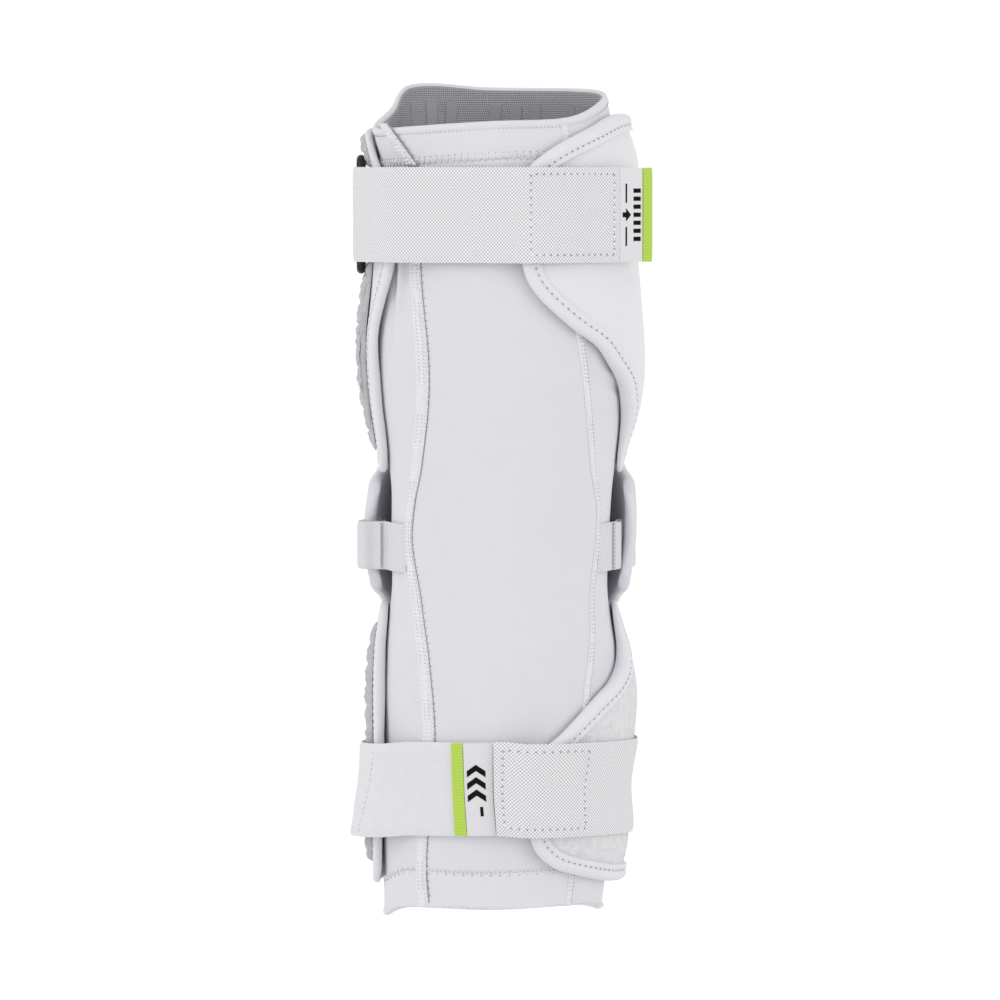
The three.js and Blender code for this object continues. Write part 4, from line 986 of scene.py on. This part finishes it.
def ribbon(name, stations, width, thickness, paint, slot, nodes, waviness=0.0):
    """Flat upright strap along a path; returns its place function, its path and the run along it."""
    path = curve(stations, False, 0.9)
    along = np.gradient(path, axis=0)
    normal = np.stack([along[:, 1], -along[:, 0], np.zeros(len(path))], 1)
    normal /= np.linalg.norm(normal, axis=1)[:, None]
    run = np.concatenate([[0], np.cumsum(np.linalg.norm(np.diff(path, axis=0), axis=1))])

    def place(x, y, out):
        at = [np.interp(x, run, column) for column in path.T]
        face = [np.interp(x, run, column) for column in normal.T]
        return np.stack([at[0] + face[0] * out, at[1] + face[1] * out, at[2] + y + 0 * at[0]], -1)

    y = np.linspace(-0.5, 0.5, 15) * width
    half = thickness / 2 * rounded(y, width, 0.5)
    outline = np.concatenate([y, y[::-1]]), np.concatenate([half, -half[::-1]])
    flat_strap(name, place, run, outline, lambda x, y: waviness * waves(x, y * 0.6, 38), paint, slot, nodes)
    return place, path, run


keeper = [
    tuple(arm(-74, UPPER_LINE, shell_under_ring + ELASTIC + 0.3)),
    *wrap_round(bar_offset, -1, pi * 1.25),
    tuple(arm(-76.5, UPPER_LINE, shell_under_ring + 2 * ELASTIC + 1.8)),
    tuple(arm(-74, UPPER_LINE, shell_under_ring + 2 * ELASTIC + 0.9)),
]
ribbon("ring_keeper_band", keeper, KEEPER_WIDTH, ELASTIC, elastic, "elastic", ["ring_keeper"])


# Upper strap: wide woven elastic from under the near side round the ring and back over the near
# side. Its free end has hook tape sewn inside, a satin label and a green pull.
UPPER_UNDER_LAYER = [
    (4, 0.355), (-14, 0.355), (-34, 0.371), (-43, 0.677), (-50, 1.113), (-61, 1.113), (-70, 1.048),
]
UPPER_TOP_LAYER = [
    (-76, 1.613), (-62, 1.371), (-50, 1.355), (-42, 1), (-34, 0.661), (-16, 0.597), (-3, 0.613),
    (3, 0.871), (9, 1.21), (15, 1.387), (30, 1.387), (43, 1.387),
]
STRAP_LIFT = 6.2
TAB_TURN = radians(32)
TAB_FREE = 11.3
LABEL_LENGTH = 11
LABEL_THICKNESS = 0.6
LABEL_WIDTH = STRAP_WIDTH - 0.5
LAYER_GAP = 0.3
# The pull is drawn to 0.8 of its solid's length, as the photo has it.
PULL_LENGTH = 5.3
PULL_SHARES = (0, 0.4, 0.8)
HOOK_WIDTH = STRAP_WIDTH - 6
BOX_PITCH = 2.8


def along_arm(table):
    return [tuple(arm(180 - turn, UPPER_LINE, out * STRAP_LIFT)) for turn, out in table]


top_layer = along_arm(UPPER_TOP_LAYER)
tab_start = np.array(top_layer[-1])
tab_way = np.array([cos(TAB_TURN), sin(TAB_TURN), 0])


def tab_point(length):
    return tuple(tab_start + tab_way * length)


upper_path = [
    *along_arm(UPPER_UNDER_LAYER),
    *wrap_round(-bar_offset, 1),
    *top_layer,
    tab_point(TAB_FREE),
]
on_strap, strap_path, strap_run = ribbon(
    "upper_strap_elastic", upper_path, STRAP_WIDTH, ELASTIC, elastic, "elastic", ["upper_strap"], 0.12
)


def strap_length(x):
    """Length along the upper strap's outer layer where it crosses x."""
    outer = strap_run > strap_run[-1] - 115
    return np.interp(x, strap_path[outer, 0], strap_run[outer])


def row(start, end, pitch):
    """Stitches of a straight row between two points of a plane."""
    start, end = np.array(start, float), np.array(end, float)
    count = max(1, round(np.linalg.norm(end - start) / pitch))
    at = np.arange(count)[:, None] / count
    first = start + (end - start) * at
    return np.stack([first, first + (end - start) * 0.62 / count], 1)


def sewn_box(name, left, right, low, high, place, lift):
    """Rows of stitches round a sewn patch, with the holes between them."""
    corners = [(left, low), (right, low), (left, high), (right, high)]
    sides = ((0, 1), (2, 3), (0, 2), (1, 3))
    lines = np.concatenate([row(corners[a], corners[b], BOX_PITCH) for a, b in sides])
    stitches(name, lines, place, 0.26, "elastic", lift)
    gaps = lines[:, 1] + (lines[:, 1] - lines[:, 0]) * 0.3
    plates(name + "_holes", dots(gaps, 0.4), place, lift - 0.4, lift + 0.07, needle_hole, "elastic")


sewn_box("upper_strap_sewing", strap_length(12.2), strap_length(45.2), -15.8, 16.2, on_strap, 0.6)

hook_tape = material("hook_tape", "#dfdfe3", 0.6, IOR=1.5)
# Rows of tiny moulded hooks, drawn coarser than they are, painted darker between them as shade.
relief(hook_tape, lattice(hook_tape, 1.6, 1.6), "#c4c4c9", "#e6e6ea", 0.4)
hook_path = [tuple(arm(180 - turn, UPPER_LINE, STRAP_LIFT + 1)) for turn in np.linspace(15, 44, 8)]
ribbon("upper_hook_patch", hook_path, HOOK_WIDTH, 1, hook_tape, "hook_tape", ["upper_strap_hook"])

satin = material("satin_label", "#dedee1", 0.4, Sheen_Weight=0.1, IOR=1.5)
# Smooth woven satin with a fine rib that follows its length.
relief(satin, lattice(satin, 0.8, 3), "#d8d8dc", "#e3e3e6", 0.03)
label_ink = material("black_ink", "#0a0a0c", 0.9, IOR=1.3)
# Woven-in black yarn.
relief(label_ink, grain(label_ink, 0.5), "#060608", "#0e0e10", 0.02)
green_ribbon = cloth("green_grosgrain", "#b3d44f", 0.7, 0.15)
# Ribbed ribbon in a bright yellow green.
relief(green_ribbon, lattice(green_ribbon, 30, 1.2), "#aecf4b", "#b9da58", 0.06)

label_ends = TAB_FREE + LAYER_GAP, TAB_FREE + LABEL_LENGTH / 2, TAB_FREE + LABEL_LENGTH
label_path = [tab_point(length) for length in label_ends]
on_label, _, _ = ribbon(
    "upper_label", label_path, LABEL_WIDTH, LABEL_THICKNESS, satin, "satin_label", ["upper_strap_label"], 0.05
)
pull_start = TAB_FREE + LABEL_LENGTH + LAYER_GAP
pull_path = [tab_point(pull_start + PULL_LENGTH * share) for share in PULL_SHARES]
ribbon("upper_pull", pull_path, LABEL_WIDTH, 1.2, green_ribbon, "green_ribbon", ["upper_strap_pull"])
# Marks in the plane of the label: an arrow head, two plain bars and a row of short ones.
strokes = [[(1.2, -1), (2.8, -1), (2.8, -2.6), (5.2, 0), (2.8, 2.6), (2.8, 1), (1.2, 1)]]
for left, right, half, places in (
    (2.6, 3.3, 3.8, (-8.6, 8.6)),
    (6.4, 9.8, 0.85, (-9.6, -6.4, -3.2, 0, 3.2, 6.4, 9.6)),
):
    for y in places:
        strokes.append([(left, y - half), (right, y - half), (right, y + half), (left, y + half)])
plates("upper_label_marks", strokes, on_label, 0.2, 0.42, label_ink, "satin_label")


# Lower strap: a brushed pile band round the left side and woven elastic round the right, that
# grips it with hooks on the near side. The pile band carries a satin label and a green stripe.
LOWER_ELASTIC = [
    (-5, 0.758, 0.039), (3, 0.774, 0.039), (12, 1.306, 0.026), (40, 1.306, 0.013), (56, 1.177, 0),
    (85, 1.355, -0.026), (112, 1.226, -0.026),
]
LOWER_PILE = [
    (-118, 1.613, -0.105, 0.026), (-100, 1.452, -0.092, 0.053), (-88, 1.339, -0.079, 0.105),
    (-76, 1.113, -0.066, 0.066), (-62, 1.032, -0.039, 0.013), (-46, 0.306, 0, 0), (6, 0.274, 0.039, 0),
]
PILE = 1.4
# How far the sewn ends near the label lean, as a share of the height.
LABEL_LEAN = 0.07


def on_band(table):
    """Place function of a band: x along the girth by turn, y across it from its middle line."""

    def place(x, y, out):
        turn = np.degrees((x - LABEL_LEAN * y * crest(x, -9, 22)) / GIRTH_RADIUS)
        z = FOREARM_LINE + read(table, turn, 2) * STRAP_WIDTH + y
        flare = read(table, turn, 3) * (STRAP_WIDTH / 2 - y) if len(table[0]) > 3 else 0
        return arm(180 - turn, z, read(table, turn) * STRAP_LIFT + flare + out)

    return place


def band(name, table, start, end, lift, thickness, width, paint, slot, nodes, crumple):
    """Band that lies on the arm between two turns."""
    x = girth(np.linspace(start, end, max(8, round(abs(end - start) / 1.1))))
    y = np.linspace(-0.5, 0.5, 21) * width
    half = 0.5 * rounded(y, width, 0.6)
    out = lift + thickness * np.concatenate([0.5 + half, 0.5 - half[::-1]])
    outline = np.concatenate([y, y[::-1]]), out
    flat_strap(name, on_band(table), x, outline, lambda x, y: crumple * waves(x, y, 17), paint, slot, nodes)


pile_tape = cloth("brushed_pile", "#e0e0e4", 0.95, 0.5, 0.35)
# Soft brushed loops without a clear direction.
brushed = uneven(pile_tape, grain(pile_tape, 0.6), 5, 0.4)
relief(pile_tape, brushed, "#d6d6db", "#ebebef", 0.25)
label_lift = PILE + LAYER_GAP
# Name, table, turns of both ends, lift with thickness and width, material, slot, CAD node, crumple.
on_top = label_lift, LABEL_THICKNESS, LABEL_WIDTH
for name, table, ends, (lift, thickness, width), paint, slot, node_name, crumple in (
    ("strap_elastic", LOWER_ELASTIC, (-1.6, 112), (0, ELASTIC, STRAP_WIDTH), elastic, "elastic", "", 0),
    ("hook_patch", LOWER_ELASTIC, (6, 39), (-1.6, 1, HOOK_WIDTH), hook_tape, "hook_tape", "_hook", 0),
    ("strap_pile_band", LOWER_PILE, (-118, 5), (0, PILE, STRAP_WIDTH), pile_tape, "pile_tape", "_pile", 0.22),
    ("label", LOWER_PILE, (-2, -15.6), on_top, satin, "satin_label", "_label", 0),
    ("stripe", LOWER_PILE, (-15.9, -21.6), on_top, green_ribbon, "green_ribbon", "_stripe", 0),
):
    nodes = ["lower_strap" + node_name]
    band("lower_" + name, table, *ends, lift, thickness, width, paint, slot, nodes, crumple)
on_pile = on_band(LOWER_PILE)
chevrons = []
for y in (-5, 0, 5):
    chevrons.append([(-11.6, y), (-8, y + 2.6), (-4.4, y), (-4.4, y + 2.5), (-8, y + 5.1), (-11.6, y + 2.5)])
chevrons.append([(-7, -10.8), (-5.8, -10.8), (-5.8, -7), (-7, -7)])
plates("lower_label_marks", chevrons, on_pile, label_lift + 0.4, label_lift + 0.75, label_ink, "satin_label")
on_elastic = on_band(LOWER_ELASTIC)
sewn_box("lower_strap_sewing", girth(2.4), girth(41), -15.5, 15.8, on_elastic, ELASTIC + 0.05)
pile_edge = np.concatenate(
    [row((girth(-115), -16), (girth(-115), 16), 2.4), row((girth(-79), -17), (girth(-68), 17), 2.4)]
)
stitches("pile_end_stitches", pile_edge, on_pile, 0.27, "pile_tape", PILE + 0.15)


# Cap straps: short elastic bands sewn beside the seams, that pass through the cap's slots.
ON_SLEEVE = 1.3


def by_cap(angle, past):
    return tuple(arm(angle, CAP_STRAP_HEIGHT, CAP_STAND_OFF + CAP_DOME * cap_value(angle, 2) + past))


def by_seam(angle, out):
    return tuple(arm(angle, CAP_STRAP_HEIGHT, out))


def seam_turn(table):
    return read(table, CAP_STRAP_HEIGHT / BELOW_ELBOW)


cap_elastic = cloth("ribbed_elastic", "#dcdce2", 0.8, 0.1)
# Narrow knitted elastic with upright ribs, painted darker between them as shade.
relief(cap_elastic, lattice(cap_elastic, 1.1, 1.6), "#c8c8cf", "#f2f2f5", 0.22)
left_cap_path = [
    by_seam(-180 - seam_turn(LEFT_SEAM) + 2.2, -0.1),
    by_seam(-180 - seam_turn(LEFT_SEAM) + 6, ON_SLEEVE * 0.75),
    by_seam(-CAP_REACH - 16, ON_SLEEVE),
    by_seam(-CAP_REACH - 7, ON_SLEEVE + 0.9),
    by_cap(-CAP_REACH - 3.6, 0),
    by_cap(-CAP_REACH - 2.9, CAP_WALL * 0.84),
    by_cap(-CAP_REACH + 1, CAP_WALL + ELASTIC * 0.7),
    by_cap(-SLOT_ANGLE - 5.5, CAP_WALL + ELASTIC * 0.65),
    by_cap(-SLOT_ANGLE - 0.7, CAP_WALL + 0.3),
    by_cap(-SLOT_ANGLE + 0.4, CAP_WALL * 0.4),
    by_cap(-SLOT_ANGLE - 0.4, -ELASTIC),
    by_cap(-SLOT_ANGLE - 4, -CAP_STAND_OFF * 0.75),
]
right_cap_path = [
    by_seam(180 - seam_turn(RIGHT_SEAM) - 1.2, -0.1),
    by_seam(180 - seam_turn(RIGHT_SEAM) - 4.5, ON_SLEEVE * 0.75),
    by_seam(CAP_REACH + 13, ON_SLEEVE + 0.3),
    by_cap(CAP_REACH + 2, -CAP_STAND_OFF * 0.76),
    by_cap(SLOT_ANGLE + 4, -CAP_STAND_OFF * 0.68),
    by_cap(SLOT_ANGLE + 0.3, 0),
    by_cap(SLOT_ANGLE, CAP_WALL * 0.7),
    by_cap(SLOT_ANGLE - 1, CAP_WALL + ELASTIC),
    by_cap(SLOT_ANGLE - 4, CAP_WALL + ELASTIC * 1.8),
    by_cap(SLOT_ANGLE - 10, CAP_WALL + ELASTIC * 1.8),
]
# Each strap is doubled where it comes back on itself, by a layer a little narrower and thinner.
left_fold = [
    by_seam(-CAP_REACH - 7, 4.5),
    by_cap(-CAP_REACH - 5.1, 0.6),
    by_cap(-CAP_REACH - 4.4, CAP_WALL * 0.84 + 0.5),
    by_cap(-CAP_REACH + 0.6, CAP_WALL + ELASTIC * 1.7),
    by_cap(-SLOT_ANGLE - 6, CAP_WALL + ELASTIC * 1.65),
    by_cap(-SLOT_ANGLE - 2, CAP_WALL + ELASTIC * 1.6),
]
right_fold = [
    by_seam(CAP_REACH + 12, ON_SLEEVE + 1.9),
    by_cap(CAP_REACH + 2.6, 1.2 - CAP_STAND_OFF * 0.76),
    by_cap(SLOT_ANGLE + 4.5, 1.15 - CAP_STAND_OFF * 0.68),
]
for name, path, width, thickness, nodes in (
    ("left_cap_strap_band", left_cap_path, CAP_STRAP_WIDTH, ELASTIC, ["left_cap_strap"]),
    ("right_cap_strap_band", right_cap_path, CAP_STRAP_WIDTH, ELASTIC, ["right_cap_strap"]),
    ("left_cap_strap_fold", left_fold, CAP_STRAP_WIDTH - 0.4, ELASTIC * 0.9, ()),
    ("right_cap_strap_fold", right_fold, CAP_STRAP_WIDTH - 0.4, ELASTIC * 0.9, ()),
):
    ribbon(name, path, width, thickness, cap_elastic, "cap_elastic", nodes)

bpy.context.view_layer.update()
